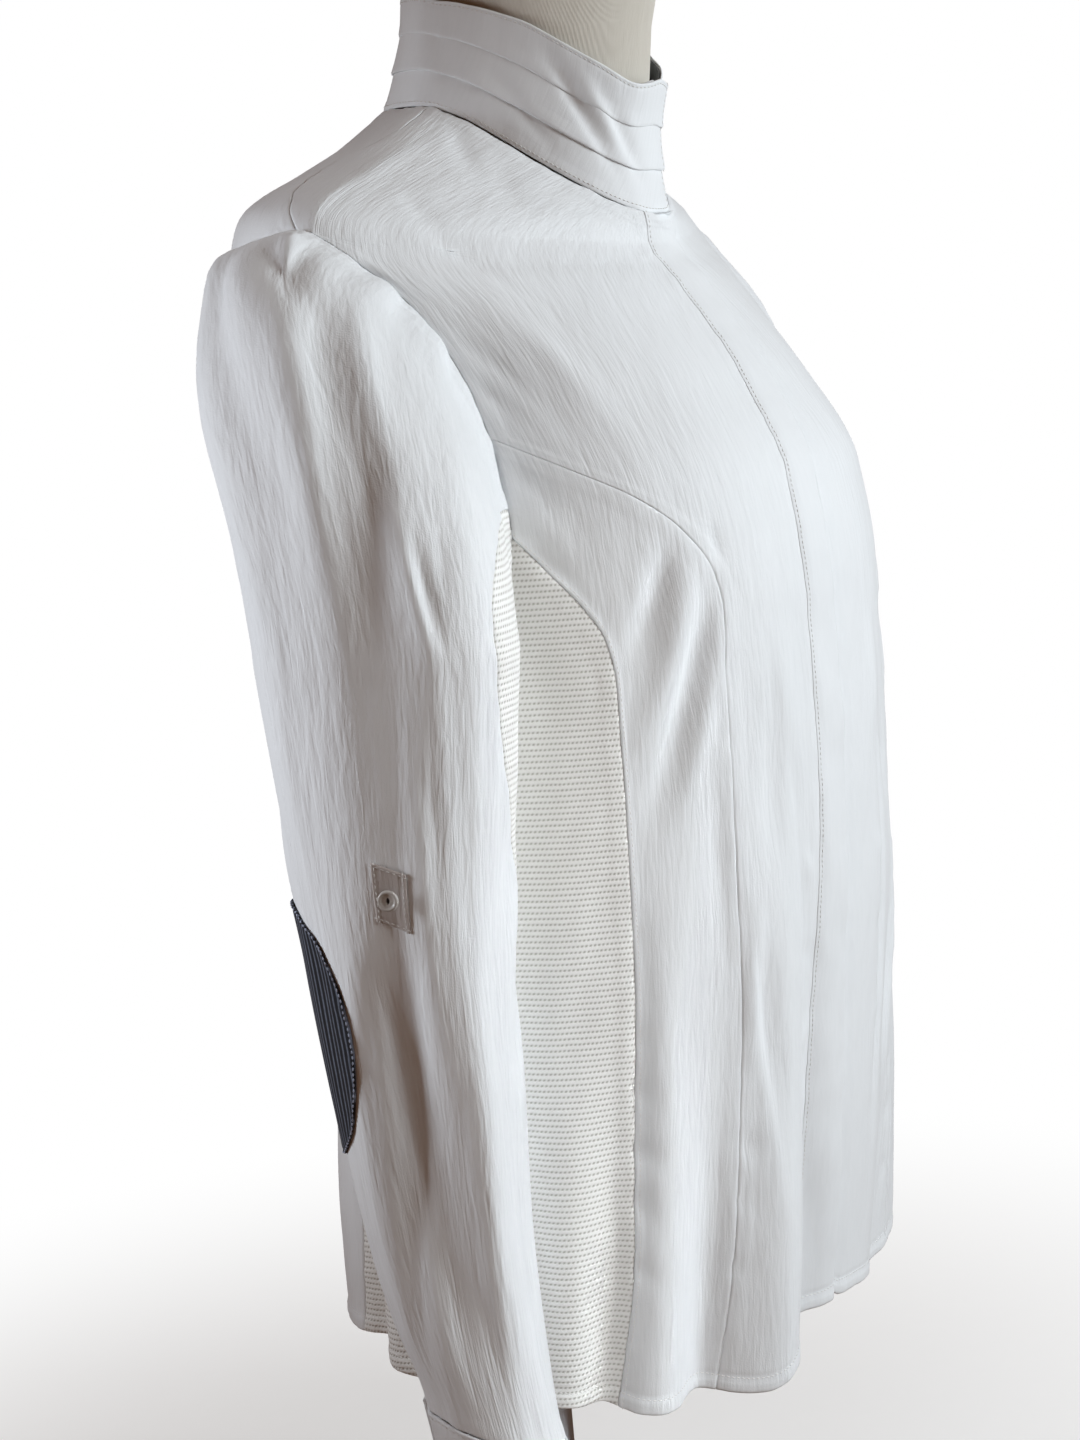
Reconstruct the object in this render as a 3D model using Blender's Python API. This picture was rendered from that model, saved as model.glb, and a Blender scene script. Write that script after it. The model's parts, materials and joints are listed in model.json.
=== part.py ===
"""Equestrian show shirt worn by a limbless dress form on a bench stand.

Metres, +Z up.  The front faces -Y and the wearer's right is -X.  The bench is at Z = 0 and the
stand's column is on the Z axis.

The trunk of the shirt is one surface, shirt(turn, along).  turn is the angle round the trunk from
the centre front towards the wearer's right, in degrees.  along is the way up the side from the hem
to the neck seam.  The panels are cut out of that surface along the seam lines, as a maker cuts
them, and each is a wall of cloth.  A sleeve is sleeve(phi, reach): phi goes round the arm from its
inner side over the front, and reach is 0 at the armhole, 1 at the upper arm and 2 at the cuff seam.
"""
import math

import bpy
import numpy as np

HEM = 0.190                  # height of the hem above the bench
MIDDLE = -0.045              # the middle of the trunk stands this far in front of the stand's column
WALL = 0.0012                # one layer of shirt cloth
DOUBLE = 0.0024              # two layers and an interlining, as in the fly band and the cuffs
EASE = 0.00025               # each piece stops this far short of its seam line
LAP = 0.0003                 # gap between a piece and what it lies on
TOP = 0.730                  # the neck seam, in metres along the trunk

TRUNK_DEGREE = 0.0026        # one degree round the trunk, in metres
SLEEVE_DEGREE = 0.0009       # one degree round a sleeve
SLEEVE_REACH = 0.20          # one unit of reach, near enough for the folds


def table(text):
    """Columns of a small table, by the names in its first row."""
    rows = [row.split() for row in text.strip().splitlines()]
    return {name: np.array([float(row[i]) for row in rows[1:]]) for i, name in enumerate(rows[0])}


def through(value, places, heights):
    """A smooth curve through the rows of a table that doesn't overshoot them."""
    value = np.clip(value, places[0], places[-1])
    step = np.diff(places)
    rise = np.diff(heights) / step
    slope = np.zeros_like(heights)
    same = rise[1:] * rise[:-1] > 0
    slope[1:-1][same] = 2 * rise[1:][same] * rise[:-1][same] / (rise[1:] + rise[:-1])[same]
    slope[0], slope[-1] = rise[0], rise[-1]
    i = np.clip(np.searchsorted(places, value, side="right") - 1, 0, len(places) - 2)
    t = (value - places[i]) / step[i]
    return ((2 * t**3 - 3 * t**2 + 1) * heights[i] + (t**3 - 2 * t**2 + t) * step[i] * slope[i]
            + (3 * t**2 - 2 * t**3) * heights[i + 1] + (t**3 - t**2) * step[i] * slope[i + 1])


def unit(vectors):
    return vectors / np.maximum(np.linalg.norm(vectors, axis=-1, keepdims=True), 1e-9)


def signed_power(value, power):
    return np.sign(value) * np.abs(value) ** power


def smooth_step(value):
    value = np.clip(value, 0, 1)
    return value * value * (3 - 2 * value)


# ---------------------------------------------------------------- the trunk's sizes

# One row for each section, up the side: its height above the hem, its half width, how far the
# front and the back stand from the middle, how square the two halves are, and how much lower the
# front is than the side.
BODY = table("""
along  height  wide   front   back   square  square_back  dip
0.000  0.0000  0.181  0.1410  0.103  2.30    2.20         0.0000
0.080  0.0800  0.178  0.1510  0.103  2.44    2.20         0.0000
0.160  0.1600  0.172  0.1580  0.101  2.55    2.20         0.0000
0.230  0.2300  0.166  0.1630  0.100  2.62    2.20         0.0000
0.310  0.3100  0.161  0.1650  0.102  2.68    2.20         0.0000
0.380  0.3800  0.160  0.1650  0.108  2.78    2.20         0.0000
0.435  0.4350  0.159  0.1580  0.114  2.80    2.30         0.0000
0.490  0.4890  0.158  0.1330  0.117  2.40    2.35         0.0030
0.540  0.5360  0.170  0.1060  0.112  1.88    2.30         0.0100
0.575  0.5650  0.190  0.0915  0.114  1.45    2.20         0.0184
0.590  0.5770  0.194  0.0870  0.115  1.28    2.15         0.0245
0.610  0.5888  0.180  0.0862  0.110  1.30    2.10         0.0315
0.650  0.6041  0.140  0.0855  0.092  1.45    2.05         0.0400
0.690  0.6194  0.100  0.0852  0.078  1.65    2.00         0.0516
0.730  0.6360  0.062  0.0850  0.064  2.05    2.00         0.0650
""")

# How far the hem hangs below its level line, round from the centre front.
HEM_DROP = table("""
turn   drop    drop_left
0      0.000   0.002
6      0.000   0.006
16     0.012   0.012
25     0.018   0.016
36     0.013   0.013
50     0.010   0.009
60     0.003   0.003
80    -0.002  -0.001
96    -0.012  -0.008
110   -0.017  -0.012
130   -0.015  -0.013
180   -0.016  -0.016
""")
HEM_REACH = 0.20             # the hem's shape dies out this far up

# The large folds of the trunk, each along a line from one point to another: turn and along at both
# ends, half width in metres at both ends, how far it stands out (+) or in (-), and where along the
# line it is deepest, 0 for its start.
TRUNK_FOLDS = table("""
turn0  along0  turn1  along1  width0  width1  raise    peak
 21    0.000    19    0.330   0.021   0.014    0.0120  0.00
  9    0.000     8    0.300   0.010   0.008   -0.0110  0.00
 36    0.000    34    0.200   0.013   0.010   -0.0090  0.00
 47    0.000    46    0.300   0.016   0.012    0.0100  0.00
 57    0.000    54    0.180   0.010   0.009   -0.0070  0.00
 64    0.000    66    0.340   0.017   0.014    0.0080  0.00
 80    0.000    84    0.260   0.022   0.016   -0.0080  0.00
 98    0.000   100    0.340   0.026   0.018    0.0090  0.00
110    0.000   112    0.240   0.021   0.015   -0.0150  0.00
133    0.000   138    0.330   0.024   0.018    0.0060  0.00
163    0.000   160    0.250   0.022   0.016   -0.0060  0.00
187    0.000   184    0.320   0.026   0.018    0.0080  0.00
212    0.000   214    0.240   0.022   0.016   -0.0070  0.00
232    0.000   228    0.330   0.026   0.018    0.0080  0.00
258    0.000   262    0.250   0.021   0.015   -0.0070  0.00
277    0.000   274    0.310   0.024   0.017    0.0080  0.00
299    0.000   301    0.220   0.017   0.012   -0.0070  0.00
317    0.000   316    0.300   0.022   0.015    0.0090  0.00
338    0.000   340    0.200   0.018   0.012   -0.0070  0.00
 62    0.425    30    0.300   0.013   0.010    0.0050  0.45
 60    0.395    40    0.270   0.010   0.010   -0.0040  0.40
298    0.425   330    0.310   0.013   0.010    0.0050  0.45
300    0.395   320    0.280   0.010   0.010   -0.0040  0.40
150    0.560   120    0.380   0.018   0.016   -0.0040  0.50
214    0.555   238    0.370   0.018   0.016   -0.0040  0.50
""")

# Seam lines on the trunk.  The left side's are mirrored.
PRINCESS = table("""
turn  along
32.5  0.000
30.0  0.080
29.0  0.170
29.5  0.260
29.5  0.340
28.5  0.382
30.0  0.400
35.5  0.420
43.5  0.436
58.0  0.456
69.5  0.472
""")
MESH_FRONT = table("""
turn  along
54.5  0.000
52.0  0.080
52.0  0.170
53.0  0.260
53.6  0.325
53.8  0.352
55.4  0.372
59.5  0.389
64.5  0.404
71.0  0.424
""")
MESH_BACK = table("""
turn   along
121.0  0.000
118.0  0.100
116.0  0.230
115.0  0.340
110.0  0.424
""")
UNDERARM = table("""
turn   along
71.0   0.424
80.0   0.409
90.0   0.404
100.0  0.409
110.0  0.424
""")
ARMHOLE_SIDE = table("""
turn  along
71.0  0.424
71.0  0.448
69.5  0.472
""")
ARMHOLE_FRONT = table("""
turn  along
69.5  0.472
69.0  0.500
69.3  0.530
71.5  0.560
76.0  0.578
83.0  0.586
93.5  0.589
""")
ARMHOLE_BACK = table("""
turn   along
110.0  0.424
110.5  0.460
112.0  0.500
113.5  0.540
112.5  0.570
107.0  0.584
93.5   0.589
""")
SHOULDER = table("""
turn   along
93.5   0.589
97.5   0.606
104.0  0.628
108.5  0.652
103.0  0.678
98.0   0.704
98.0   0.730
""")

# The fly band: how far its sewn edge and its free edge are from the centre, + to the wearer's left.
FLY = table("""
along  sewn    free
0.000  -0.037  -0.009
0.100  -0.037  -0.009
0.200  -0.034  -0.006
0.300  -0.029  -0.001
0.400  -0.030  -0.002
0.460  -0.023   0.006
0.520  -0.014   0.014
0.600  -0.012   0.016
0.730  -0.014   0.014
""")
FLY_STANDS = 0.0009          # the band's face above the fronts
STAND_UNDER = 0.0021         # the left front's edge dips this far below the trunk's surface
STAND_DIP = 0.016            # over this width

# How many cells each panel has up and across.
SIDE_ROWS = 14               # hem to armhole
SIDE_CROWD = 1.4             # those rows are closer at the armhole by this power
ARMHOLE_ROWS = 6             # round half the upper armhole
SHOULDER_ROWS = 4            # armhole to neck
FRONT_COLUMNS = 7
SIDE_FRONT_COLUMNS = 3
MESH_COLUMNS = 6
BACK_COLUMNS = 12


def relief(folds, across, along, across_scale, along_scale):
    """How far the folds of a table lift a surface, at points given in the table's own units."""
    lift = np.zeros(np.broadcast(across, along).shape)
    columns = ("turn0", "along0", "turn1", "along1", "width0", "width1", "raise", "peak")
    for turn0, along0, turn1, along1, width0, width1, height, peak in zip(*(folds[c] for c in columns)):
        run = np.array([(turn1 - turn0) * across_scale, (along1 - along0) * along_scale])
        length = np.linalg.norm(run)
        x = (across - turn0) * across_scale
        y = (along - along0) * along_scale
        way = (x * run[0] + y * run[1]) / length**2
        aside = (x * run[1] - y * run[0]) / length
        width = width0 + (width1 - width0) * np.clip(way, 0, 1)
        swell = smooth_step((1 - way) / (1 - peak))
        if peak > 0:
            swell = np.where(way < peak, smooth_step(way / peak), swell)
        lift = lift + height * np.exp(-((aside / width) ** 2)) * swell
    return lift


def trunk(turn, along):
    """The trunk's smooth surface, without folds."""
    turn, along = np.broadcast_arrays(np.asarray(turn, float), np.asarray(along, float))
    row = {name: through(along, BODY["along"], BODY[name]) for name in BODY if name != "along"}
    sine, cosine = np.sin(np.radians(turn)), np.cos(np.radians(turn))
    power = 2 / np.where(cosine > 0, row["square"], row["square_back"])
    x = -row["wide"] * signed_power(sine, power)
    y = np.where(cosine > 0, -row["front"], row["back"]) * np.abs(cosine) ** power
    forward = (cosine + np.sqrt(cosine**2 + 0.04)) / 2
    from_front = np.abs((turn + 180) % 360 - 180)
    column = np.where(turn % 360 < 180, *(through(from_front, HEM_DROP["turn"], HEM_DROP[c])
                                          for c in ("drop", "drop_left")))
    drop = column * smooth_step(1 - along / HEM_REACH)
    z = HEM + row["height"] - row["dip"] * forward - drop
    return np.stack([x, MIDDLE + y, z], -1)


def facing(surface, first, second, step_first, step_second):
    """Outward unit normals of a surface of two coordinates, from small differences."""
    across = surface(first + step_first, second) - surface(first - step_first, second)
    up = surface(first, second + step_second) - surface(first, second - step_second)
    return unit(np.cross(up, across))


def folded_trunk(turn, along):
    lift = relief(TRUNK_FOLDS, turn % 360, along, TRUNK_DEGREE, 1.0)
    return trunk(turn, along) + lift[..., None] * facing(trunk, turn, along, 0.4, 0.002)


def shirt(turn, along, out=0.0):
    """A point on the trunk of the shirt, moved out from its surface."""
    turn, along = np.broadcast_arrays(np.asarray(turn, float), np.asarray(along, float))
    out = np.broadcast_to(np.asarray(out, float), turn.shape)
    return folded_trunk(turn, along) + out[..., None] * facing(folded_trunk, turn, along, 0.4, 0.002)


def turn_at(x, along):
    """The turn at which the front of the trunk has the given x."""
    wide = through(along, BODY["along"], BODY["wide"])
    square = through(along, BODY["along"], BODY["square"])
    return -np.degrees(np.arcsin(signed_power(x / wide, square / 2)))


# ---------------------------------------------------------------- walls of cloth

def run_length(line):
    """How far each point of a line is from its start, along the line."""
    return np.concatenate([[0], np.cumsum(np.linalg.norm(np.diff(line, axis=0), axis=1))])


def stations(seam, count, crowd=1.0):
    """count + 1 points (turn, along) spaced along a seam's smooth line, closer at its end if crowded."""
    line = np.stack([seam["turn"], seam["along"]], -1)
    way = run_length(line * [TRUNK_DEGREE, 1])
    fine = np.linspace(0, way[-1], 400)
    dense = np.stack([through(fine, way, line[:, 0]), through(fine, way, line[:, 1])], -1)
    real = run_length(shirt(dense[:, 0], dense[:, 1]))
    spaced = real[-1] * (1 - np.linspace(1, 0, count + 1) ** crowd)
    return np.stack([np.interp(spaced, real, dense[:, 0]), np.interp(spaced, real, dense[:, 1])], -1)


def join(*lines):
    """Lines end to end, without their shared points."""
    return np.concatenate([lines[0]] + [line[1:] for line in lines[1:]])


def span(first, last, columns, top=None):
    """A grid (rows, columns, 2) from one side line to the other, its last row bent to a top line."""
    blend = np.linspace(0, 1, columns + 1)[None, :, None]
    grid = first[:, None] * (1 - blend) + last[:, None] * blend
    if top is not None:
        weight = (np.linspace(0, 1, len(first)) ** 3)[:, None, None]
        grid = grid + weight * (top - grid[-1])[None]
    return grid


def shrink(points, gap, closed=False):
    """A grid of points with its edges drawn in by a gap."""
    points = points.copy()
    sides = [(np.s_[0], np.s_[1]), (np.s_[-1], np.s_[-2])]
    if not closed:
        sides += [(np.s_[:, 0], np.s_[:, 1]), (np.s_[:, -1], np.s_[:, -2])]
    for edge, beside in sides:
        points[edge] += gap * unit(points[beside] - points[edge])
    return points


def solid(name, outer, inner, material, closed=False):
    """A closed wall between an outer and an inner grid of points."""
    rows, columns = outer.shape[:2]
    size = rows * columns
    points = np.concatenate([outer.reshape(-1, 3), inner.reshape(-1, 3)])
    index = np.arange(size).reshape(rows, columns)
    if closed:
        index = np.concatenate([index, index[:, :1]], axis=1)

    def quads(a, b, c, d):
        return np.stack([a.ravel(), b.ravel(), c.ravel(), d.ravel()], -1)

    low, high = index[:-1], index[1:]
    face = cut_across(points, quads(low[:, :-1], low[:, 1:], high[:, 1:], high[:, :-1]))
    faces = face.tolist() + (face[:, ::-1] + size).tolist()
    rims = [index[0, ::-1], index[-1]]
    if not closed:
        rims += [index[:, 0], index[::-1, -1]]
    for rim in rims:
        faces += quads(rim[:-1], rim[1:], rim[1:] + size, rim[:-1] + size).tolist()
    return add_mesh(name, points, faces, material)


def cut_across(points, cells):
    """Two triangles from each four-cornered cell, cut along its shorter diagonal."""
    a, b, c, d = cells.T
    first = np.linalg.norm(points[a] - points[c], axis=1) < np.linalg.norm(points[b] - points[d], axis=1)
    one = np.where(first, [a, b, c], [a, b, d])
    other = np.where(first, [a, c, d], [b, c, d])
    return np.concatenate([one.T, other.T])


def add_mesh(name, points, faces, material):
    mesh = bpy.data.meshes.new(name)
    mesh.from_pydata(points.tolist(), [], faces)
    mesh.validate()
    mesh.shade_smooth()
    if volume(mesh) < 0:
        mesh.flip_normals()
    mesh.set_sharp_from_angle(angle=math.radians(50))
    mesh.materials.append(material)
    made = bpy.data.objects.new(name, mesh)
    bpy.context.scene.collection.objects.link(made)
    return made


def volume(mesh):
    """The volume that a closed mesh's faces enclose, below zero where they face inwards."""
    mesh.calc_loop_triangles()
    spots = np.array([vertex.co for vertex in mesh.vertices])
    corners = spots[np.array([triangle.vertices for triangle in mesh.loop_triangles])]
    return float(np.einsum("ij,ij->", corners[:, 0], np.cross(corners[:, 1], corners[:, 2]))) / 6


def panel(name, grid, side, material):
    """A panel of the trunk from a grid (rows, columns, 2) of turn and along.  side -1 mirrors it."""
    turn, along = grid[..., 0] * side, grid[..., 1]
    return solid(name, shrink(shirt(turn, along), EASE), shrink(shirt(turn, along, -WALL), EASE), material)


# ---------------------------------------------------------------- the sleeves

# One row for each section down the right sleeve: its height above the hem, its middle, its half
# sizes from front to back and from inner to outer side, and how square it is.
SLEEVE = table("""
height  x        y        y_left   across  thick   square
-0.040  -0.2350  -0.0800   0.0000  0.0315  0.0305  2.00
 0.020  -0.2350  -0.0705   0.0000  0.0315  0.0305  2.00
 0.060  -0.2350  -0.0610   0.0010  0.0355  0.0330  2.05
 0.110  -0.2340  -0.0540   0.0020  0.0390  0.0360  2.10
 0.170  -0.2320  -0.0490   0.0020  0.0440  0.0390  2.10
 0.240  -0.2290  -0.0440   0.0000  0.0485  0.0430  2.10
 0.310  -0.2260  -0.0420  -0.0040  0.0565  0.0460  2.15
 0.380  -0.2240  -0.0420  -0.0100  0.0640  0.0490  2.15
""")
UPPER_ARM = 0.380            # height above the hem of reach 1
CUFF_SEAM = 0.020            # height above the hem of reach 2
CUFF_END = 2 + (CUFF_SEAM + 0.040) / (UPPER_ARM - CUFF_SEAM)

# The large folds of the right sleeve: phi and reach at both ends.
SLEEVE_FOLDS = table("""
turn0  along0  turn1  along1  width0  width1  raise    peak
205    0.00    212    1.00    0.050   0.040    0.0030  0.40
184    0.03    166    1.50    0.013   0.016   -0.0070  0.35
207    0.10    210    1.40    0.014   0.016    0.0050  0.40
112    0.05    112    1.05    0.016   0.018    0.0050  0.40
150    1.30    196    2.00    0.013   0.011   -0.0060  0.55
175    1.30    205    2.00    0.008   0.008    0.0030  0.50
238    0.08    232    0.95    0.012   0.013   -0.0050  0.40
262    0.10    268    1.25    0.016   0.016    0.0050  0.45
292    0.20    285    1.35    0.014   0.014   -0.0040  0.50
120    1.20    118    1.90    0.014   0.012    0.0030  0.50
""")
OTHER_SLEEVE = 7             # the left sleeve's folds lie this many degrees further round
CUFF_TILT = 0.012            # the sleeve's end dips by this at its front
TILT_TOWARDS = 230           # and rises here

# The underarm gusset's edge, degrees each side of the sleeve's inner line.
GUSSET = table("""
reach  edge
0.00   55.1
0.35   72.0
0.70   91.0
0.90   99.0
1.03   97.0
1.14   89.0
1.28   66.0
1.50   6.0
""")
GUSSET_END = 1.50
SLEEVE_ROWS = [0.0, 0.12, 0.28, 0.45, 0.62, 0.80, 1.0, 1.12, 1.25, 1.38, 1.50, 1.61, 1.71, 1.81, 1.90, 2.0]


def armhole_loop():
    """The armhole's stations from the middle of the underarm, up the front and down the back."""
    under = stations(UNDERARM, MESH_COLUMNS)
    middle = MESH_COLUMNS // 2
    return join(under[middle::-1], stations(ARMHOLE_SIDE, SIDE_FRONT_COLUMNS),
                stations(ARMHOLE_FRONT, ARMHOLE_ROWS), stations(ARMHOLE_BACK, ARMHOLE_ROWS)[::-1],
                under[:middle - 1:-1])


LOOP = armhole_loop()
LOOP_POINTS = shirt(LOOP[:, 0], LOOP[:, 1])
LOOP_WAY = run_length(LOOP_POINTS)
LOOP_PHI = 360 * LOOP_WAY / LOOP_WAY[-1]
FRONT_CORNER = MESH_COLUMNS // 2                  # the loop's station where the mesh panel begins
BACK_CORNER = len(LOOP) - 1 - MESH_COLUMNS // 2


def sleeve_ring(phi, height, side):
    row = {name: through(height, SLEEVE["height"], SLEEVE[name]) for name in SLEEVE if name != "height"}
    power = 2 / row["square"]
    middle = MIDDLE + (row["y"] if side > 0 else row["y_left"])
    x = row["x"] + row["thick"] * signed_power(np.cos(np.radians(phi)), power)
    y = middle - row["across"] * signed_power(np.sin(np.radians(phi)), power)
    tilt = CUFF_TILT * smooth_step((0.13 - height) / 0.11) * np.cos(np.radians(phi - TILT_TOWARDS))
    return np.stack(np.broadcast_arrays(x, y, HEM + height + tilt), -1)


def sleeve_form(phi, reach, side):
    """The sleeve without folds: a cap that leaves the armhole and turns down, then the tube."""
    phi, reach = np.broadcast_arrays(np.asarray(phi, float), np.asarray(reach, float))
    round_loop = phi % 360
    start = np.stack([np.interp(round_loop, LOOP_PHI, LOOP_POINTS[:, i]) for i in range(3)], -1)
    end = sleeve_ring(phi, UPPER_ARM, side)
    cosine, sine = np.cos(np.radians(phi)), np.sin(np.radians(phi))
    shoulder = (1 - cosine) / 2
    rise = 1.20 if side > 0 else 0.90
    sweep = np.where(sine > 0, -0.35, -0.60) * sine
    leave = unit(np.stack([-(0.35 + 0.75 * shoulder), sweep, rise * shoulder**1.5 - 1.0], -1))
    far = np.linalg.norm(end - start, axis=-1, keepdims=True)
    down = np.array([0, 0, -1.0])
    t = np.clip(reach, 0, 1)[..., None]
    cap = ((2 * t**3 - 3 * t**2 + 1) * start + (t**3 - 2 * t**2 + t) * 0.9 * far * leave
           + (3 * t**2 - 2 * t**3) * end + (t**3 - t**2) * 1.1 * far * down)
    height = UPPER_ARM - (np.clip(reach, 1, None) - 1) * (UPPER_ARM - CUFF_SEAM)
    return np.where((reach <= 1)[..., None], cap, sleeve_ring(phi, height, side))


def folded_sleeve(phi, reach, side):
    def form(first, second):
        return sleeve_form(first, second, side)

    shift = 0 if side > 0 else OTHER_SLEEVE
    lift = relief(SLEEVE_FOLDS, (phi - shift) % 360, reach, SLEEVE_DEGREE, SLEEVE_REACH)
    lift = lift * smooth_step(reach / 0.10)
    return form(phi, reach) + lift[..., None] * facing(form, phi, reach, 2.0, -0.02)


def sleeve(phi, reach, out=0.0, side=1):
    """A point on the right sleeve moved out from its surface, or on the left one for side -1."""
    phi, reach = np.broadcast_arrays(np.asarray(phi, float), np.asarray(reach, float))
    out = np.broadcast_to(np.asarray(out, float), phi.shape)

    def surface(first, second):
        return folded_sleeve(first, second, side)

    normal = facing(surface, phi, reach, 2.0, -0.02)
    normal = np.where((reach < 0.01)[..., None], seam_normal(phi, normal), normal)
    return (surface(phi, reach) + out[..., None] * normal) * [side, 1, 1]


def seam_normal(phi, normal):
    """Halfway between the sleeve's normal and the trunk's at the armhole, where they agree enough."""
    turn = np.interp(phi % 360, LOOP_PHI, LOOP[:, 0])
    along = np.interp(phi % 360, LOOP_PHI, LOOP[:, 1])
    body = facing(folded_trunk, turn, along, 0.4, 0.002)
    agree = smooth_step((np.sum(body * normal, -1, keepdims=True) + 0.3) / 0.6)
    return unit(normal + agree * body)


def sleeve_wall(name, phi, reach, side, material, thick=WALL, out=0.0, ease=EASE):
    """A wall of cloth on a sleeve, its outer face moved out from the sleeve's surface."""
    return solid(name, shrink(sleeve(phi, reach, out, side), ease),
                 shrink(sleeve(phi, reach, out - thick, side), ease), material)


def make_sleeve(side, tag):
    """The sleeve proper, open along its inner seam, and the mesh gusset in that seam's top."""
    reach = np.array(SLEEVE_ROWS)[:, None]
    edge = through(reach, GUSSET["reach"], GUSSET["edge"]) * (reach < GUSSET_END + 0.01)
    first, last = LOOP_PHI[FRONT_CORNER], LOOP_PHI[BACK_CORNER]
    share = (LOOP_PHI[FRONT_CORNER:BACK_CORNER + 1] - first) / (last - first)
    back_edge = edge * (360 - last) / first
    phi = edge + share[None] * (360 - edge - back_edge)
    sleeve_wall("sleeve_" + tag, phi, reach, side, COTTON)

    rows = reach[reach[:, 0] < GUSSET_END + 0.01]
    edge, back_edge = edge[:len(rows)], back_edge[:len(rows)]
    around = np.concatenate([LOOP_PHI[BACK_CORNER:-1] - 360, LOOP_PHI[:FRONT_CORNER + 1]])
    scale = np.where(around < 0, back_edge / (360 - last), edge / first)
    sleeve_wall("gusset_" + tag, around * scale, rows, side, MESH)


# ---------------------------------------------------------------- what is sewn on the sleeves

CUFF_START = 2.0015
CUFF_STANDS = 0.0012         # the cuff's face outside the sleeve's line
CUFF_LAP = 24                # its ends lap by this many degrees
CUFF_OPENS = 300             # where its upper end lies
TAB = dict(phi=159.0, reach=1.283, round=17.0, length=0.076)
PATCH = dict(phi=245.0, reach=1.471, round=112.0, length=0.332)
ON_CLOTH = 0.0009            # what is sewn on a sleeve lies this far off its face
BUTTON_RADIUS = 0.0049
BUTTON_THICK = 0.0022


def make_cuff(side, tag):
    """A cuff: a doubled band round the wrist whose upper end laps over the lower one."""
    way = np.append(np.arange(0, 360, 18), [360, 360 + CUFF_LAP / 2, 360 + CUFF_LAP])
    out = CUFF_STANDS + (DOUBLE + LAP) * smooth_step((way - 320) / 40)
    phi = (CUFF_OPENS - CUFF_LAP - way)[None]
    reach = np.array([CUFF_START, 2.08, CUFF_END])[:, None]
    lap_phi, lap_reach = np.broadcast_arrays(phi, reach)
    lap_out = np.broadcast_to(out, lap_phi.shape)
    sleeve_wall("cuff_" + tag, lap_phi, lap_reach, side, COTTON, DOUBLE, lap_out)
    top = CUFF_STANDS + DOUBLE + LAP
    make_button("cuff_button_" + tag, CUFF_OPENS - CUFF_LAP - 360 - CUFF_LAP / 2, 2.085, top + LAP, side)


def make_button(name, phi, reach, out, side):
    """A flat round button with a rounded rim, lying on the sleeve."""
    base = sleeve(phi, reach, out, side)
    normal = unit(sleeve(phi, reach, out + 0.001, side) - base)
    along = unit(sleeve(phi, reach + 0.02, out, side) - base)
    aside = np.cross(normal, along)
    profile = [(0.72, 0.0), (1.0, 0.25), (1.0, 0.75), (0.80, 1.0)]
    angle = np.radians(np.arange(0, 360, 18))[:, None]
    circle = np.cos(angle) * along + np.sin(angle) * aside
    rings = [base + normal * (high * BUTTON_THICK + 0.0003) + circle * wide * BUTTON_RADIUS
             for wide, high in profile]
    lofted(name, rings, BUTTON)


def make_sewn_on(side, tag):
    """The reinforcement under the roll-up tab's button, the button, and the oval elbow patch."""
    across, down = np.meshgrid(np.linspace(-0.5, 0.5, 4), np.linspace(-0.5, 0.5, 5))
    sleeve_wall("tab_patch_" + tag, TAB["phi"] + TAB["round"] * across,
                TAB["reach"] + TAB["length"] * down, side, COTTON, WALL, ON_CLOTH + WALL)
    make_button("tab_button_" + tag, TAB["phi"], TAB["reach"], ON_CLOTH + WALL + LAP, side)
    across, down = np.meshgrid(np.linspace(-1, 1, 7), np.linspace(-1, 1, 8))
    round_across = across * np.sqrt(1 - down**2 / 2)
    round_down = down * np.sqrt(1 - across**2 / 2)
    sleeve_wall("elbow_patch_" + tag, PATCH["phi"] + PATCH["round"] / 2 * round_across,
                PATCH["reach"] + PATCH["length"] / 2 * round_down, side, STRIPE, WALL, ON_CLOTH + WALL)


# ---------------------------------------------------------------- the collar

COLLAR_HEIGHT = table("""
turn   height
0      0.066
20     0.061
35     0.063
60     0.064
71     0.061
84     0.056
95     0.053
120    0.054
180    0.055
""")
COLLAR_END = 12              # both ends run this many degrees past the centre front
COLLAR_STACK = 0.0048        # the left end dips this far, under the right one
COLLAR_COLUMNS = 28
COLLAR_WALL = 0.0010

# The collar's section up its height (1 for its full front height): half width, front and back.
COLLAR_SECTION = table("""
k     wide    front   back
0.00  0.0620  0.0850  0.0640
0.35  0.0596  0.0834  0.0530
0.62  0.0578  0.0846  0.0475
1.00  0.0562  0.0922  0.0450
""")

# The three tiers between the tucks, and the contrast facing inside: where each begins and ends, as
# a share of the collar's height, and how far its face stands out at both edges.
TIERS = table("""
bottom  top    out_bottom  out_top
0.000   0.365  0.0000      0.0000
0.333   0.700  0.0015      0.0001
0.667   1.000  0.0015      0.0001
0.000   0.995 -0.0016     -0.0016
""")
TIER_CELLS = [2, 2, 2, 4]
TIER_NAMES = ["collar_tier_lower", "collar_tier_middle", "collar_tier_upper", "collar_facing"]


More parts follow.
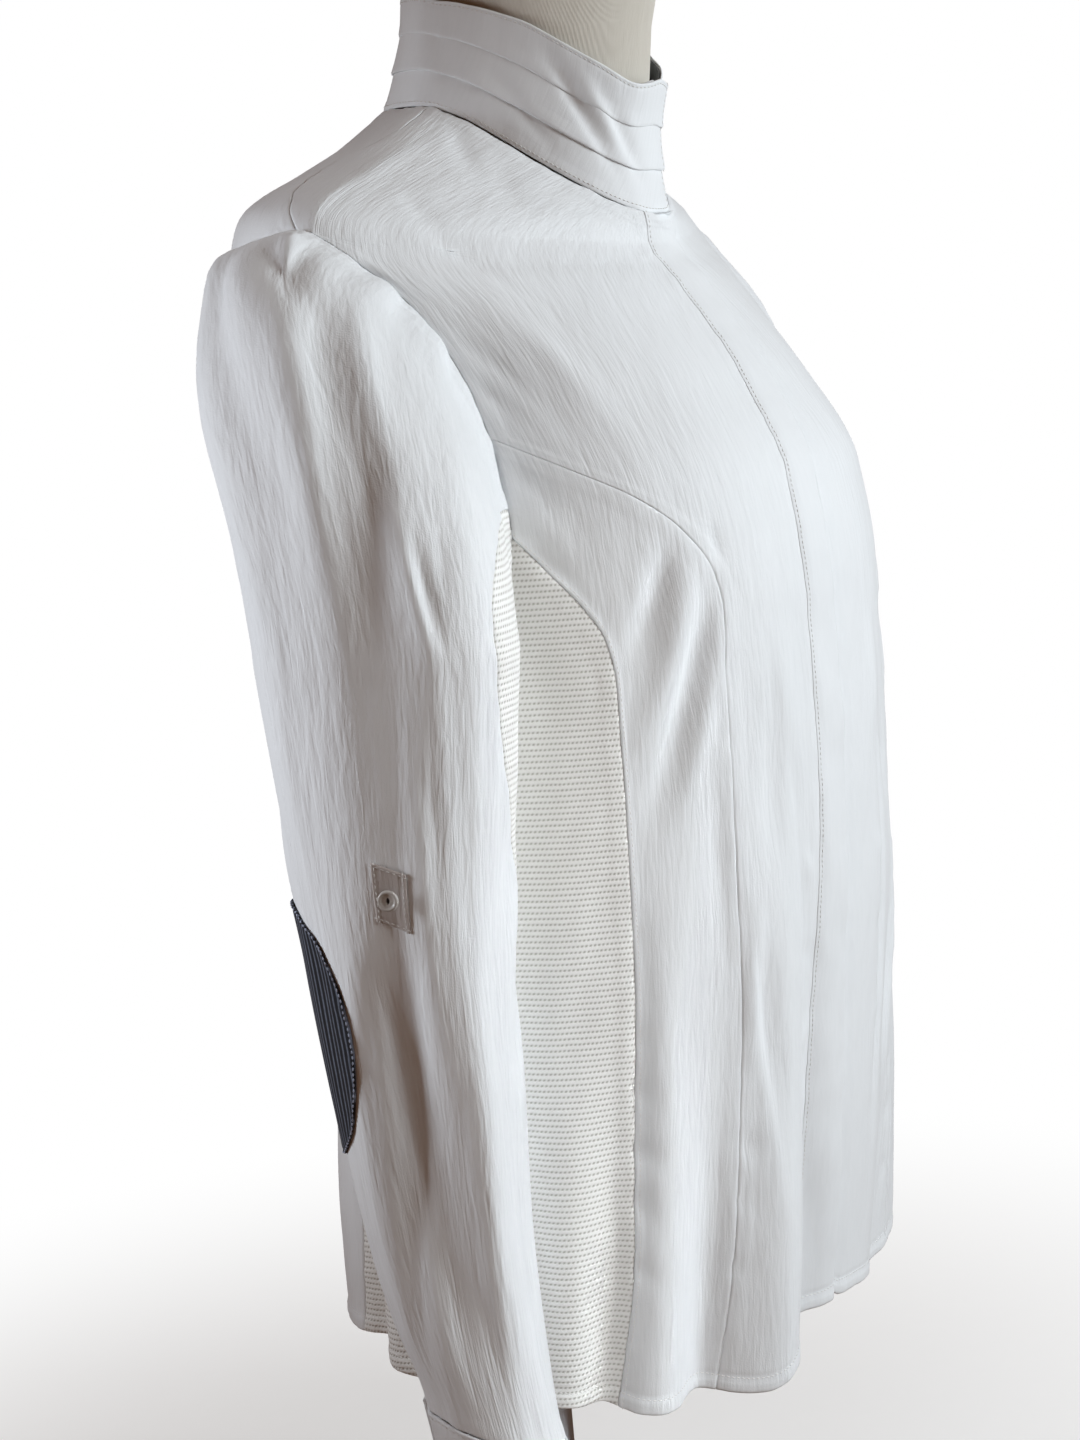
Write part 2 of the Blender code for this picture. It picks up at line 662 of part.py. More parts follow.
def collar(turn, share, out=0.0):
    """A point on the collar: share of its height above the neck seam, moved out from its surface."""
    turn, share = np.broadcast_arrays(np.asarray(turn, float), np.asarray(share, float))
    from_front = np.abs((turn + 180) % 360 - 180)
    height = share * through(from_front, COLLAR_HEIGHT["turn"], COLLAR_HEIGHT["height"])
    under = COLLAR_STACK * smooth_step((turn - 322) / 22)
    k = height / COLLAR_HEIGHT["height"][0]
    wide, front, back = (through(k, COLLAR_SECTION["k"], COLLAR_SECTION[c])
                         for c in ("wide", "front", "back"))
    sine, cosine = np.sin(np.radians(turn)), np.cos(np.radians(turn))
    power = 2 / np.where(cosine > 0, 2.12, 2.0)
    reach_out = out - under
    x = -(wide + reach_out) * signed_power(sine, power)
    y = np.where(cosine > 0, -(front + reach_out), back + reach_out)
    z = trunk(turn % 360, TOP)[..., 2] + height + 2 * LAP
    return np.stack([x, MIDDLE + y * np.abs(cosine) ** power, z], -1)


def make_collar():
    turn = np.linspace(-COLLAR_END, 360 + COLLAR_END, COLLAR_COLUMNS + 1)[None]
    for name, cells, bottom, top, out_bottom, out_top in zip(TIER_NAMES, TIER_CELLS, *TIERS.values()):
        step = np.linspace(0, 1, cells + 1)[:, None]
        share = bottom + (top - bottom) * step
        out = out_bottom + (out_top - out_bottom) * step
        cloth = CONTRAST if name == "collar_facing" else COTTON
        solid(name, collar(turn, share, out), collar(turn, share, out - COLLAR_WALL + 0 * turn), cloth)


# ---------------------------------------------------------------- the dress form and its stand

# How far the form's skin is inside the shirt's, up the side, and how much more at the centre front,
# where the button stand and the collar's lower end dip.  The shirt rests on the form's shoulders.
FORM_INSET = table("""
along  inset   more_front
0.030  0.0320  0.0000
0.120  0.0260  0.0020
0.250  0.0200  0.0030
0.380  0.0160  0.0035
0.450  0.0130  0.0035
0.520  0.0100  0.0035
0.560  0.0078  0.0035
0.590  0.0072  0.0040
0.615  0.0063  0.0045
0.650  0.0051  0.0050
0.680  0.0034  0.0055
0.700  0.0028  0.0060
0.715  0.0032  0.0070
0.730  0.0060  0.0095
""")
FORM_BOTTOM = 0.030
FORM_SHOULDER = 0.730
FORM_COLUMNS = 48

# The neck, from inside the collar up: height above the hem, half width, front and back.
NECK = table("""
height  wide    front   back
0.665   0.0500  0.0830  0.0350
0.690   0.0495  0.0900  0.0320
0.730   0.0490  0.0985  0.0270
""")
BASE_RADIUS = 0.132
BASE_THICK = 0.012
POLE_RADIUS = 0.0125
POLE_FOOT = 0.030            # radius of the foot round the pole


def lofted(name, rings, material):
    """A closed body through rings of points, with flat ends."""
    count = len(rings[0])
    points = np.concatenate(rings)
    faces = []
    for i in range(len(rings) - 1):
        for j in range(count):
            k = (j + 1) % count
            faces.append([i * count + j, i * count + k, (i + 1) * count + k, (i + 1) * count + j])
    faces.append(list(range(count))[::-1])
    faces.append([(len(rings) - 1) * count + j for j in range(count)])
    return add_mesh(name, points, faces, material)


def neck_ring(turn, height):
    row = {name: through(height, NECK["height"], NECK[name]) for name in NECK if name != "height"}
    x = -row["wide"] * np.sin(np.radians(turn))
    middle = MIDDLE + (row["back"] - row["front"]) / 2
    y = middle - (row["front"] + row["back"]) / 2 * np.cos(np.radians(turn))
    return np.stack([x, y, HEM + height + 0 * x], -1)


def make_form():
    """The torso inside the shirt, its shoulders closed, running up into a forward neck."""
    turn = np.arange(FORM_COLUMNS) * 360 / FORM_COLUMNS
    rings = []
    for along in np.concatenate([np.linspace(FORM_BOTTOM, 0.50, 16), np.linspace(0.525, FORM_SHOULDER, 9)]):
        inset, more = (through(along, FORM_INSET["along"], FORM_INSET[c]) for c in ("inset", "more_front"))
        inset = inset + more * smooth_step(np.cos(np.radians(turn)) / 0.7)
        ring = trunk(turn, along) - inset[:, None] * facing(trunk, turn, along, 0.4, 0.002)
        if along == FORM_BOTTOM:
            ring[:, 2] = HEM + FORM_BOTTOM
        rings.append(ring)
    foot, head = rings[-1], neck_ring(turn, NECK["height"][0])
    frontal = smooth_step(np.cos(np.radians(turn)) / 0.8)
    for share in (0.25, 0.5, 0.75):
        sweep, lift = 1 - (1 - share) ** 2.4, share ** 1.4
        blend = np.stack([sweep + 0 * turn, sweep + (lift - sweep) * frontal, lift + 0 * turn], -1)
        rings.append(foot * (1 - blend) + head * blend)
    rings += [neck_ring(turn, height) for height in (0.665, 0.690, 0.715, 0.728)]
    crown = rings[-1]
    middle = crown.mean(axis=0)
    rings.append(middle + (crown - middle) * [0.94, 0.94, 1] + [0, 0, 0.003])
    lofted("dress_form", rings, LINEN)


def turned(name, profile, material, sides=48):
    """A body turned round the Z axis from a profile of radii and heights, bottom to top."""
    angle = np.arange(sides) * 2 * math.pi / sides
    lofted(name, [np.stack([radius * np.cos(angle), radius * np.sin(angle), height + 0 * angle], -1)
                  for radius, height in profile], material)


def make_stand():
    edge = 0.002
    turned("stand_base", [(BASE_RADIUS - edge, 0), (BASE_RADIUS, edge), (BASE_RADIUS, BASE_THICK - edge),
                          (BASE_RADIUS - edge, BASE_THICK), (POLE_FOOT, BASE_THICK + 0.002),
                          (POLE_FOOT - 0.004, BASE_THICK + 0.010), (POLE_RADIUS + 0.002, BASE_THICK + 0.013)],
           STEEL)
    foot, top = BASE_THICK + 0.013 + LAP, HEM + FORM_BOTTOM - LAP
    turned("stand_pole", [(POLE_RADIUS, foot), (POLE_RADIUS, top)], STEEL, 24)


# ---------------------------------------------------------------- the trunk's panels

def fly_turn(along, column, offset=0.0):
    return turn_at(through(along, FLY["along"], FLY[column]) + offset, along)


def make_trunk():
    """Fronts, side fronts, mesh sides, the fly band and the back."""
    princess, mesh_front, mesh_back = (stations(seam, SIDE_ROWS, SIDE_CROWD)
                                       for seam in (PRINCESS, MESH_FRONT, MESH_BACK))
    shoulder = stations(SHOULDER, SHOULDER_ROWS)
    front_edge = join(princess, stations(ARMHOLE_FRONT, ARMHOLE_ROWS), shoulder)
    back_edge = join(mesh_back, stations(ARMHOLE_BACK, ARMHOLE_ROWS), shoulder)
    under, side_top = stations(UNDERARM, MESH_COLUMNS), stations(ARMHOLE_SIDE, SIDE_FRONT_COLUMNS)

    for side, tag in ((1, "right"), (-1, "left")):
        side_front = span(princess, mesh_front, SIDE_FRONT_COLUMNS, side_top[::-1])
        panel("side_front_" + tag, side_front, side, COTTON)
        panel("side_mesh_" + tag, span(mesh_front, mesh_back, MESH_COLUMNS, under), side, MESH)

    mirrored = (back_edge * [-1, 1]) + [360, 0]
    panel("back", span(back_edge, mirrored, BACK_COLUMNS), 1, COTTON)

    level = front_edge[:, 1] * TOP / front_edge[-1, 1]
    sewn = np.stack([fly_turn(level, "sewn"), level], -1)
    free = np.stack([fly_turn(level, "free"), level], -1)
    panel("front_right", span(sewn, front_edge, FRONT_COLUMNS), 1, COTTON)

    band = span(free, sewn, 2)
    solid("fly_band", shrink(shirt(band[..., 0], band[..., 1], FLY_STANDS), EASE),
          shrink(shirt(band[..., 0], band[..., 1], FLY_STANDS - DOUBLE), EASE), COTTON)

    # The left front runs on under the band as the button stand: it dips below the trunk's surface
    # before the band's free edge and ends short of its sewn edge.
    dip_edge = np.stack([fly_turn(level, "free", 0.002), level], -1)
    rise_edge = np.stack([fly_turn(level, "free", 0.002 + STAND_DIP), level], -1)
    under_edge = np.stack([fly_turn(level, "sewn", 0.003), level], -1)
    outline = front_edge * [-1, 1]
    grid = np.concatenate([span(outline, rise_edge, FRONT_COLUMNS), span(rise_edge, dip_edge, 2)[:, 1:],
                           span(dip_edge, under_edge, 1)[:, 1:]], axis=1)
    depth = np.append(np.zeros(FRONT_COLUMNS + 1), STAND_UNDER * np.array([0.5, 1.0, 1.0]))
    turn, along = grid[..., 0], grid[..., 1]
    solid("front_left", shrink(shirt(turn, along, -depth), EASE),
          shrink(shirt(turn, along, -depth - WALL), EASE), COTTON)


# ---------------------------------------------------------------- materials

def material(name, colour, roughness, metallic=0.0):
    made = bpy.data.materials.new(name)
    made.use_nodes = True
    shader = made.node_tree.nodes["Principled BSDF"]
    shader.inputs["Base Color"].default_value = (*colour, 1)
    shader.inputs["Roughness"].default_value = roughness
    shader.inputs["Metallic"].default_value = metallic
    return made


for leftover in list(bpy.data.objects):
    bpy.data.objects.remove(leftover, do_unlink=True)

COTTON = material("white_crepe", (0.78, 0.77, 0.76), 0.55)
MESH = material("cream_mesh", (0.74, 0.72, 0.67), 0.70)
STRIPE = material("navy_pinstripe", (0.02, 0.02, 0.025), 0.75)
CONTRAST = material("grey_heather", (0.08, 0.085, 0.09), 0.80)
BUTTON = material("pearl_button", (0.45, 0.42, 0.37), 0.25)
LINEN = material("form_linen", (0.60, 0.57, 0.51), 0.85)
STEEL = material("stand_steel", (0.55, 0.55, 0.56), 0.35, 1.0)

make_trunk()
make_collar()
for SIDE, TAG in ((1, "right"), (-1, "left")):
    make_sleeve(SIDE, TAG)
    make_cuff(SIDE, TAG)
    make_sewn_on(SIDE, TAG)
make_form()
make_stand()
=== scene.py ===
"""The finish of an equestrian show shirt on a limbless dress form.

Metres, +Z up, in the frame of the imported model: the front faces -Y and the wearer's right is -X.
Each piece of cloth is a thin shell on the form of its solid.  The trunk is one surface,
shirt(turn, along), and a sleeve is sleeve(phi, reach), as in the model's own source.  Most large
folds are the model's own, some are drawn anew here, and the creases of the cloth lie on top of them.
"""
import json
import math

import bpy
import numpy as np
from mathutils import Matrix, Vector

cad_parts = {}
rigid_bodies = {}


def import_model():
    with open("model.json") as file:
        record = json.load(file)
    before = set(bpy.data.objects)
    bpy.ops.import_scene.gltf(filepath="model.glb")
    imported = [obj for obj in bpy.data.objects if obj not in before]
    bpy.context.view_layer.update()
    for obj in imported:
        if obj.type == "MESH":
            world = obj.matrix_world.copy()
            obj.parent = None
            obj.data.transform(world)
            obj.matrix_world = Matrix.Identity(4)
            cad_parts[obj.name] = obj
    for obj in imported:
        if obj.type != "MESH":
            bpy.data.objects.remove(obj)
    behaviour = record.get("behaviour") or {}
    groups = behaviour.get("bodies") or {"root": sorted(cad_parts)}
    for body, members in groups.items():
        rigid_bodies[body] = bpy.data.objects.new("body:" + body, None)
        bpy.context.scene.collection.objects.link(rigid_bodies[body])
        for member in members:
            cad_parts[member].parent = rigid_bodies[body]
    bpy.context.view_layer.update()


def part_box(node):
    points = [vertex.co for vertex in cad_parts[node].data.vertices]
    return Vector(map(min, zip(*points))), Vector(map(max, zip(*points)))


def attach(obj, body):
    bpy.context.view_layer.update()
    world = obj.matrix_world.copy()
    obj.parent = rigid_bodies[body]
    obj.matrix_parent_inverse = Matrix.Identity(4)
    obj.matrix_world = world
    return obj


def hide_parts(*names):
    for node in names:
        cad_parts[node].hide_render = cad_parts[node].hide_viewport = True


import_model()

# ---------------------------------------------------------------- sizes shared with the model

HEM = 0.190                  # height of the hem above the bench
MIDDLE = -0.045              # the middle of the trunk stands this far in front of the stand's column
TOP = 0.730                  # the neck seam, in metres along the trunk
EASE = 0.00006               # each piece stops this far short of its seam line
LAP = 0.0003                 # gap between a piece and what it lies on
TRUNK_DEGREE = 0.0026        # one degree round the trunk, in metres
SLEEVE_DEGREE = 0.0009       # one degree round a sleeve
SLEEVE_REACH = 0.20          # one unit of reach, near enough for the folds
SHELL = 0.0007               # one layer of cloth
FOLDED = 0.0020              # two layers and an interlining


def table(text):
    """Columns of a small table, by the names in its first row."""
    rows = [row.split() for row in text.strip().splitlines()]
    return {name: np.array([float(row[i]) for row in rows[1:]]) for i, name in enumerate(rows[0])}


def through(value, places, heights):
    """A smooth curve through the rows of a table that doesn't overshoot them."""
    value = np.clip(value, places[0], places[-1])
    step = np.diff(places)
    rise = np.diff(heights) / step
    slope = np.zeros_like(heights)
    same = rise[1:] * rise[:-1] > 0
    slope[1:-1][same] = 2 * rise[1:][same] * rise[:-1][same] / (rise[1:] + rise[:-1])[same]
    slope[0], slope[-1] = rise[0], rise[-1]
    i = np.clip(np.searchsorted(places, value, side="right") - 1, 0, len(places) - 2)
    t = (value - places[i]) / step[i]
    return ((2 * t**3 - 3 * t**2 + 1) * heights[i] + (t**3 - 2 * t**2 + t) * step[i] * slope[i]
            + (3 * t**2 - 2 * t**3) * heights[i + 1] + (t**3 - t**2) * step[i] * slope[i + 1])


def unit(vectors):
    return vectors / np.maximum(np.linalg.norm(vectors, axis=-1, keepdims=True), 1e-9)


def signed_power(value, power):
    return np.sign(value) * np.abs(value) ** power


def smooth_step(value):
    value = np.clip(value, 0, 1)
    return value * value * (3 - 2 * value)


# One row for each section of the trunk, up the side.
BODY = table("""
along  height  wide   front   back   square  square_back  dip
0.000  0.0000  0.181  0.1410  0.103  2.30    2.20         0.0000
0.080  0.0800  0.178  0.1510  0.103  2.44    2.20         0.0000
0.160  0.1600  0.172  0.1580  0.101  2.55    2.20         0.0000
0.230  0.2300  0.166  0.1630  0.100  2.62    2.20         0.0000
0.310  0.3100  0.161  0.1650  0.102  2.68    2.20         0.0000
0.380  0.3800  0.160  0.1650  0.108  2.78    2.20         0.0000
0.435  0.4350  0.159  0.1580  0.114  2.80    2.30         0.0000
0.490  0.4890  0.158  0.1330  0.117  2.40    2.35         0.0030
0.540  0.5360  0.170  0.1060  0.112  1.88    2.30         0.0100
0.575  0.5650  0.190  0.0915  0.114  1.45    2.20         0.0184
0.590  0.5770  0.194  0.0870  0.115  1.28    2.15         0.0245
0.610  0.5888  0.180  0.0862  0.110  1.30    2.10         0.0315
0.650  0.6041  0.140  0.0855  0.092  1.45    2.05         0.0400
0.690  0.6194  0.100  0.0852  0.078  1.65    2.00         0.0516
0.730  0.6360  0.062  0.0850  0.064  2.05    2.00         0.0650
""")

# How far the hem hangs below its level line, round from the centre front.
HEM_DROP = table("""
turn   drop    drop_left
0      0.000   0.002
6      0.000   0.006
16     0.012   0.012
25     0.018   0.016
36     0.013   0.013
50     0.010   0.009
60     0.003   0.003
80    -0.002  -0.001
96    -0.012  -0.008
110   -0.017  -0.012
130   -0.015  -0.013
180   -0.016  -0.016
""")
HEM_REACH = 0.20             # the hem's shape dies out this far up

# The large folds of the trunk: turn and along at both ends, half widths, height, and where it peaks.
TRUNK_FOLDS = table("""
turn0  along0  turn1  along1  width0  width1  raise    peak
 21    0.000    19    0.330   0.021   0.014    0.0120  0.00
  9    0.000     8    0.300   0.010   0.008   -0.0110  0.00
 36    0.000    34    0.200   0.013   0.010   -0.0090  0.00
 47    0.000    46    0.300   0.016   0.012    0.0100  0.00
 57    0.000    54    0.180   0.010   0.009   -0.0070  0.00
 64    0.000    66    0.340   0.017   0.014    0.0080  0.00
 80    0.000    84    0.260   0.022   0.016   -0.0080  0.00
 98    0.000   100    0.340   0.026   0.018    0.0090  0.00
110    0.000   112    0.240   0.021   0.015   -0.0150  0.00
133    0.000   138    0.330   0.024   0.018    0.0060  0.00
163    0.000   160    0.250   0.022   0.016   -0.0060  0.00
187    0.000   184    0.320   0.026   0.018    0.0080  0.00
212    0.000   214    0.240   0.022   0.016   -0.0070  0.00
232    0.000   228    0.330   0.026   0.018    0.0080  0.00
258    0.000   262    0.250   0.021   0.015   -0.0070  0.00
277    0.000   274    0.310   0.024   0.017    0.0080  0.00
299    0.000   301    0.220   0.017   0.012   -0.0070  0.00
317    0.000   316    0.300   0.022   0.015    0.0090  0.00
338    0.000   340    0.200   0.018   0.012   -0.0070  0.00
150    0.560   120    0.380   0.018   0.016   -0.0040  0.50
214    0.555   238    0.370   0.018   0.016   -0.0040  0.50
""")

# Seam lines on the trunk.  The left side's are mirrored.
PRINCESS = table("""
turn  along
32.5  0.000
30.0  0.080
29.0  0.170
29.5  0.260
29.5  0.340
28.5  0.382
30.0  0.400
35.5  0.420
43.5  0.436
58.0  0.456
69.5  0.472
""")
MESH_FRONT = table("""
turn  along
54.5  0.000
52.0  0.080
52.0  0.170
53.0  0.260
53.6  0.325
53.8  0.352
55.4  0.372
59.5  0.389
64.5  0.404
71.0  0.424
""")
MESH_BACK = table("""
turn   along
121.0  0.000
118.0  0.100
116.0  0.230
115.0  0.340
110.0  0.424
""")
UNDERARM = table("""
turn   along
71.0   0.424
80.0   0.409
90.0   0.404
100.0  0.409
110.0  0.424
""")
ARMHOLE_SIDE = table("""
turn  along
71.0  0.424
71.0  0.448
69.5  0.472
""")
ARMHOLE_FRONT = table("""
turn  along
69.5  0.472
69.0  0.500
69.3  0.530
71.5  0.560
76.0  0.578
83.0  0.586
93.5  0.589
""")
ARMHOLE_BACK = table("""
turn   along
110.0  0.424
110.5  0.460
112.0  0.500
113.5  0.540
112.5  0.570
107.0  0.584
93.5   0.589
""")
SHOULDER = table("""
turn   along
93.5   0.589
97.5   0.606
104.0  0.628
108.5  0.652
103.0  0.678
98.0   0.704
98.0   0.730
""")

# The fly band: how far its sewn edge and its free edge are from the centre, + to the wearer's left.
FLY = table("""
along  sewn    free
0.000  -0.037  -0.009
0.100  -0.037  -0.009
0.200  -0.034  -0.006
0.300  -0.029  -0.001
0.400  -0.030  -0.002
0.460  -0.023   0.006
0.520  -0.014   0.014
0.600  -0.012   0.016
0.730  -0.014   0.014
""")
FLY_STANDS = 0.0009          # the band's face above the fronts
STAND_UNDER = 0.0021         # the left front's edge dips this far below the trunk's surface
STAND_DIP = 0.016            # over this width

# The creases that show in the cloth, on the wearer's right half and mirrored on the left: as the
# folds, with how far the line bows to one side, in metres, and how much steeper one flank is.
TRUNK_CREASES = table("""
turn0  along0  turn1  along1  width0  width1  raise    peak  bow     skew
 38.0  0.423   54.0   0.350   0.0055  0.0080 -0.0052   0.35  0.0020   0.2
 34.5  0.410   53.5   0.300   0.0065  0.0085  0.0042   0.35  0.0025   0.0
 29.5  0.405   53.5   0.258   0.0060  0.0090 -0.0056   0.35  0.0025   0.2
 29.0  0.372   46.0   0.262   0.0060  0.0070  0.0026   0.45  0.0010   0.0
 27.0  0.424   29.5   0.402   0.0028  0.0024 -0.0018   0.50  0.0000   0.0
 43.0  0.300   42.0   0.160   0.0110  0.0130  0.0012   0.50  0.0000   0.0
 34.5  0.318   34.0   0.180   0.0060  0.0080 -0.0024   0.40  0.0010   0.3
 46.0  0.250   46.0   0.100   0.0090  0.0100  0.0012   0.50  0.0000   0.0
 52.5  0.262   50.5   0.030   0.0055  0.0065 -0.0024   0.50  0.0000   0.4
 53.0  0.156   46.5   0.144   0.0045  0.0040 -0.0022   0.15  0.0010   0.3
 53.0  0.128   45.0   0.116   0.0040  0.0045 -0.0021   0.15  0.0010   0.3
 53.0  0.104   47.0   0.088   0.0050  0.0045 -0.0024   0.15  0.0010   0.3
 53.0  0.073   46.0   0.060   0.0045  0.0040 -0.0020   0.15  0.0010   0.3
 53.0  0.182   48.0   0.178   0.0050  0.0050 -0.0010   0.15  0.0000   0.0
 53.0  0.232   47.5   0.222   0.0060  0.0050 -0.0010   0.15  0.0000   0.0
 29.0  0.121   24.5   0.113   0.0045  0.0040 -0.0013   0.15  0.0000   0.3
 30.0  0.097   25.5   0.088   0.0045  0.0040 -0.0013   0.15  0.0000   0.3
 31.0  0.064   26.5   0.056   0.0045  0.0040 -0.0011   0.15  0.0000   0.3
 27.5  0.240   19.0   0.085   0.0065  0.0090 -0.0034   0.50  0.0015   0.4
 25.0  0.262   27.0   0.140   0.0050  0.0060  0.0026   0.50  0.0000   0.0
 18.0  0.330   22.0   0.235   0.0070  0.0080 -0.0024   0.50  0.0015   0.0
 15.0  0.375   13.0   0.290   0.0070  0.0080  0.0020   0.50  0.0000   0.0
 14.5  0.345   12.5   0.010   0.0030  0.0040 -0.0022   0.50  0.0040   0.5
 12.0  0.250    8.0   0.232   0.0035  0.0040  0.0014   0.50  0.0000   0.3
 12.0  0.205    7.5   0.190   0.0035  0.0040 -0.0014   0.50  0.0000   0.3
 12.5  0.160    8.0   0.146   0.0035  0.0040  0.0013   0.50  0.0000   0.3
 12.0  0.105    8.0   0.092   0.0035  0.0040 -0.0012   0.50  0.0000   0.3
 66.0  0.640   37.0   0.512   0.0050  0.0035 -0.0013   0.30  0.0020   0.4
 72.0  0.648   50.0   0.596   0.0050  0.0040 -0.0011   0.30  0.0010   0.4
 84.0  0.722   52.0   0.668   0.0060  0.0060 -0.0013   0.20  0.0020   0.0
 66.0  0.718   36.0   0.620   0.0070  0.0090 -0.0010   0.20  0.0030   0.0
 56.0  0.560   42.0   0.455   0.0110  0.0120  0.0022   0.45  0.0030   0.0
 66.0  0.530   52.0   0.462   0.0070  0.0070 -0.0014   0.30  0.0020   0.0
 69.0  0.503   58.0   0.466   0.0055  0.0050 -0.0013   0.20  0.0010   0.2
 70.0  0.456   57.0   0.428   0.0055  0.0060 -0.0017   0.25  0.0010   0.2
 69.5  0.438   56.0   0.405   0.0060  0.0060  0.0014   0.30  0.0010   0.0
 68.5  0.416   58.0   0.392   0.0050  0.0045 -0.0014   0.25  0.0010   0.2
 74.0  0.574   66.0   0.535   0.0050  0.0060 -0.0014   0.20  0.0000   0.0
 82.0  0.584   74.0   0.555   0.0050  0.0050  0.0013   0.25  0.0000   0.0
 73.0  0.392   66.0   0.300   0.0090  0.0110 -0.0020   0.35  0.0020   0.2
 84.0  0.390   76.0   0.270   0.0090  0.0110  0.0018   0.40  0.0020   0.0
 98.0  0.394  106.0   0.300   0.0080  0.0100 -0.0018   0.35  0.0020   0.0
 62.0  0.240   66.0   0.120   0.0090  0.0110 -0.0016   0.50  0.0000   0.0
 90.0  0.250   93.0   0.110   0.0100  0.0120  0.0016   0.50  0.0000   0.0
104.0  0.200  102.0   0.080   0.0090  0.0100 -0.0015   0.50  0.0000   0.0
112.0  0.470  134.0   0.400   0.0080  0.0090 -0.0022   0.25  0.0030   0.2
112.0  0.505  138.0   0.455   0.0080  0.0090  0.0018   0.30  0.0030   0.0
113.0  0.540  140.0   0.515   0.0080  0.0080 -0.0017   0.25  0.0030   0.2
110.0  0.575  128.0   0.570   0.0060  0.0070 -0.0015   0.25  0.0010   0.0
118.0  0.330  136.0   0.262   0.0080  0.0100 -0.0020   0.35  0.0030   0.2
117.0  0.285  140.0   0.208   0.0080  0.0100  0.0018   0.40  0.0030   0.0
119.0  0.240  144.0   0.170   0.0080  0.0100 -0.0018   0.35  0.0030   0.2
150.0  0.380  172.0   0.330   0.0090  0.0090 -0.0018   0.45  0.0030   0.2
146.0  0.340  176.0   0.290   0.0080  0.0090 -0.0020   0.45  0.0040   0.2
152.0  0.310  170.0   0.255   0.0090  0.0090  0.0014   0.50  0.0030   0.0
142.0  0.190  146.0   0.050   0.0090  0.0110 -0.0018   0.50  0.0000   0.0
155.0  0.200  152.0   0.060   0.0090  0.0110  0.0018   0.50  0.0000   0.0
170.0  0.210  173.0   0.070   0.0090  0.0110 -0.0018   0.50  0.0000   0.0
128.0  0.700  140.0   0.610   0.0090  0.0110 -0.0012   0.25  0.0030   0.0
156.0  0.715  158.0   0.620   0.0100  0.0120  0.0011   0.30  0.0000   0.0
132.0  0.610  152.0   0.500   0.0120  0.0120  0.0013   0.45  0.0030   0.0
""")
CREASE_FRONT = 8             # those of each half die out this close to the centre front and back


def fold_columns(folds):
    names = ("turn0", "along0", "turn1", "along1", "width0", "width1", "raise", "peak", "bow", "skew")
    still = np.zeros(len(folds["turn0"]))
    return zip(*(folds.get(name, still) for name in names))


def relief(folds, across, along, across_scale, along_scale):
    """How far the folds of a table lift a surface, at points given in the table's own units."""
    lift = np.zeros(np.broadcast(across, along).shape)
    for turn0, along0, turn1, along1, width0, width1, height, peak, bow, skew in fold_columns(folds):
        run = np.array([(turn1 - turn0) * across_scale, (along1 - along0) * along_scale])
        length = np.linalg.norm(run)
        x = ((across - turn0 + 180) % 360 - 180) * across_scale
        y = (along - along0) * along_scale
        way = (x * run[0] + y * run[1]) / length**2
        inside = np.clip(way, 0, 1)
        aside = (x * run[1] - y * run[0]) / length - 4 * bow * inside * (1 - inside)
        width = (width0 + (width1 - width0) * inside) * np.where(aside > 0, 1 + skew, 1 - skew)
        swell = smooth_step((1 - way) / (1 - peak))
        if peak > 0:
            swell = np.where(way < peak, smooth_step(way / peak), swell)
        lift = lift + height * np.exp(-((aside / width) ** 2)) * swell
    return lift


def ripple(across, along, wide, long, seed):
    """Smooth random ups and downs between -1 and 1, of the given width and length."""
    count = 64
    heights = np.random.default_rng(seed).uniform(-1, 1, (count, count))
    x, y = across / wide, along / long
    i, j = np.floor(x).astype(int), np.floor(y).astype(int)
    s, t = smooth_step(x - i), smooth_step(y - j)
    low = heights[i % count, j % count] * (1 - s) + heights[(i + 1) % count, j % count] * s
    high = heights[i % count, (j + 1) % count] * (1 - s) + heights[(i + 1) % count, (j + 1) % count] * s
    return low * (1 - t) + high * t


def trunk_section(turn, along):
    """A point on the trunk's plain form, from the sections above."""
    row = {name: through(along, BODY["along"], BODY[name]) for name in BODY if name != "along"}
    sine, cosine = np.sin(np.radians(turn)), np.cos(np.radians(turn))
    power = 2 / np.where(cosine > 0, row["square"], row["square_back"])
    x = -row["wide"] * signed_power(sine, power)
    y = np.where(cosine > 0, -row["front"], row["back"]) * np.abs(cosine) ** power
    forward = (cosine + np.sqrt(cosine**2 + 0.04)) / 2
    from_front = np.abs((turn + 180) % 360 - 180)
    column = np.where(turn % 360 < 180, *(through(from_front, HEM_DROP["turn"], HEM_DROP[c])
                                          for c in ("drop", "drop_left")))
    drop = column * smooth_step(1 - along / HEM_REACH)
    z = HEM + row["height"] - row["dip"] * forward - drop
    return np.stack([x, MIDDLE + y, z], -1)


SHOULDER_BEND = (0.545, 0.590, 0.655)             # the cloth rounds the shoulder's bend between these
SOFTEN = (-0.022, -0.011, 0.0, 0.011, 0.022)      # by taking the middle of points this far apart


def trunk(turn, along):
    """The trunk's smooth surface, without folds: its plain form, rounded over the shoulder."""
    turn, along = np.broadcast_arrays(np.asarray(turn, float), np.asarray(along, float))
    low, bend, high = SHOULDER_BEND
    share = smooth_step((along - low) / (bend - low)) * smooth_step((high - along) / (high - bend))
    soft = sum(trunk_section(turn, along + step * share) for step in SOFTEN) / len(SOFTEN)
    return soft


def facing(surface, first, second, step_first, step_second):
    """Outward unit normals of a surface of two coordinates, from small differences."""
    across = surface(first + step_first, second) - surface(first - step_first, second)
    up = surface(first, second + step_second) - surface(first, second - step_second)
    return unit(np.cross(up, across))


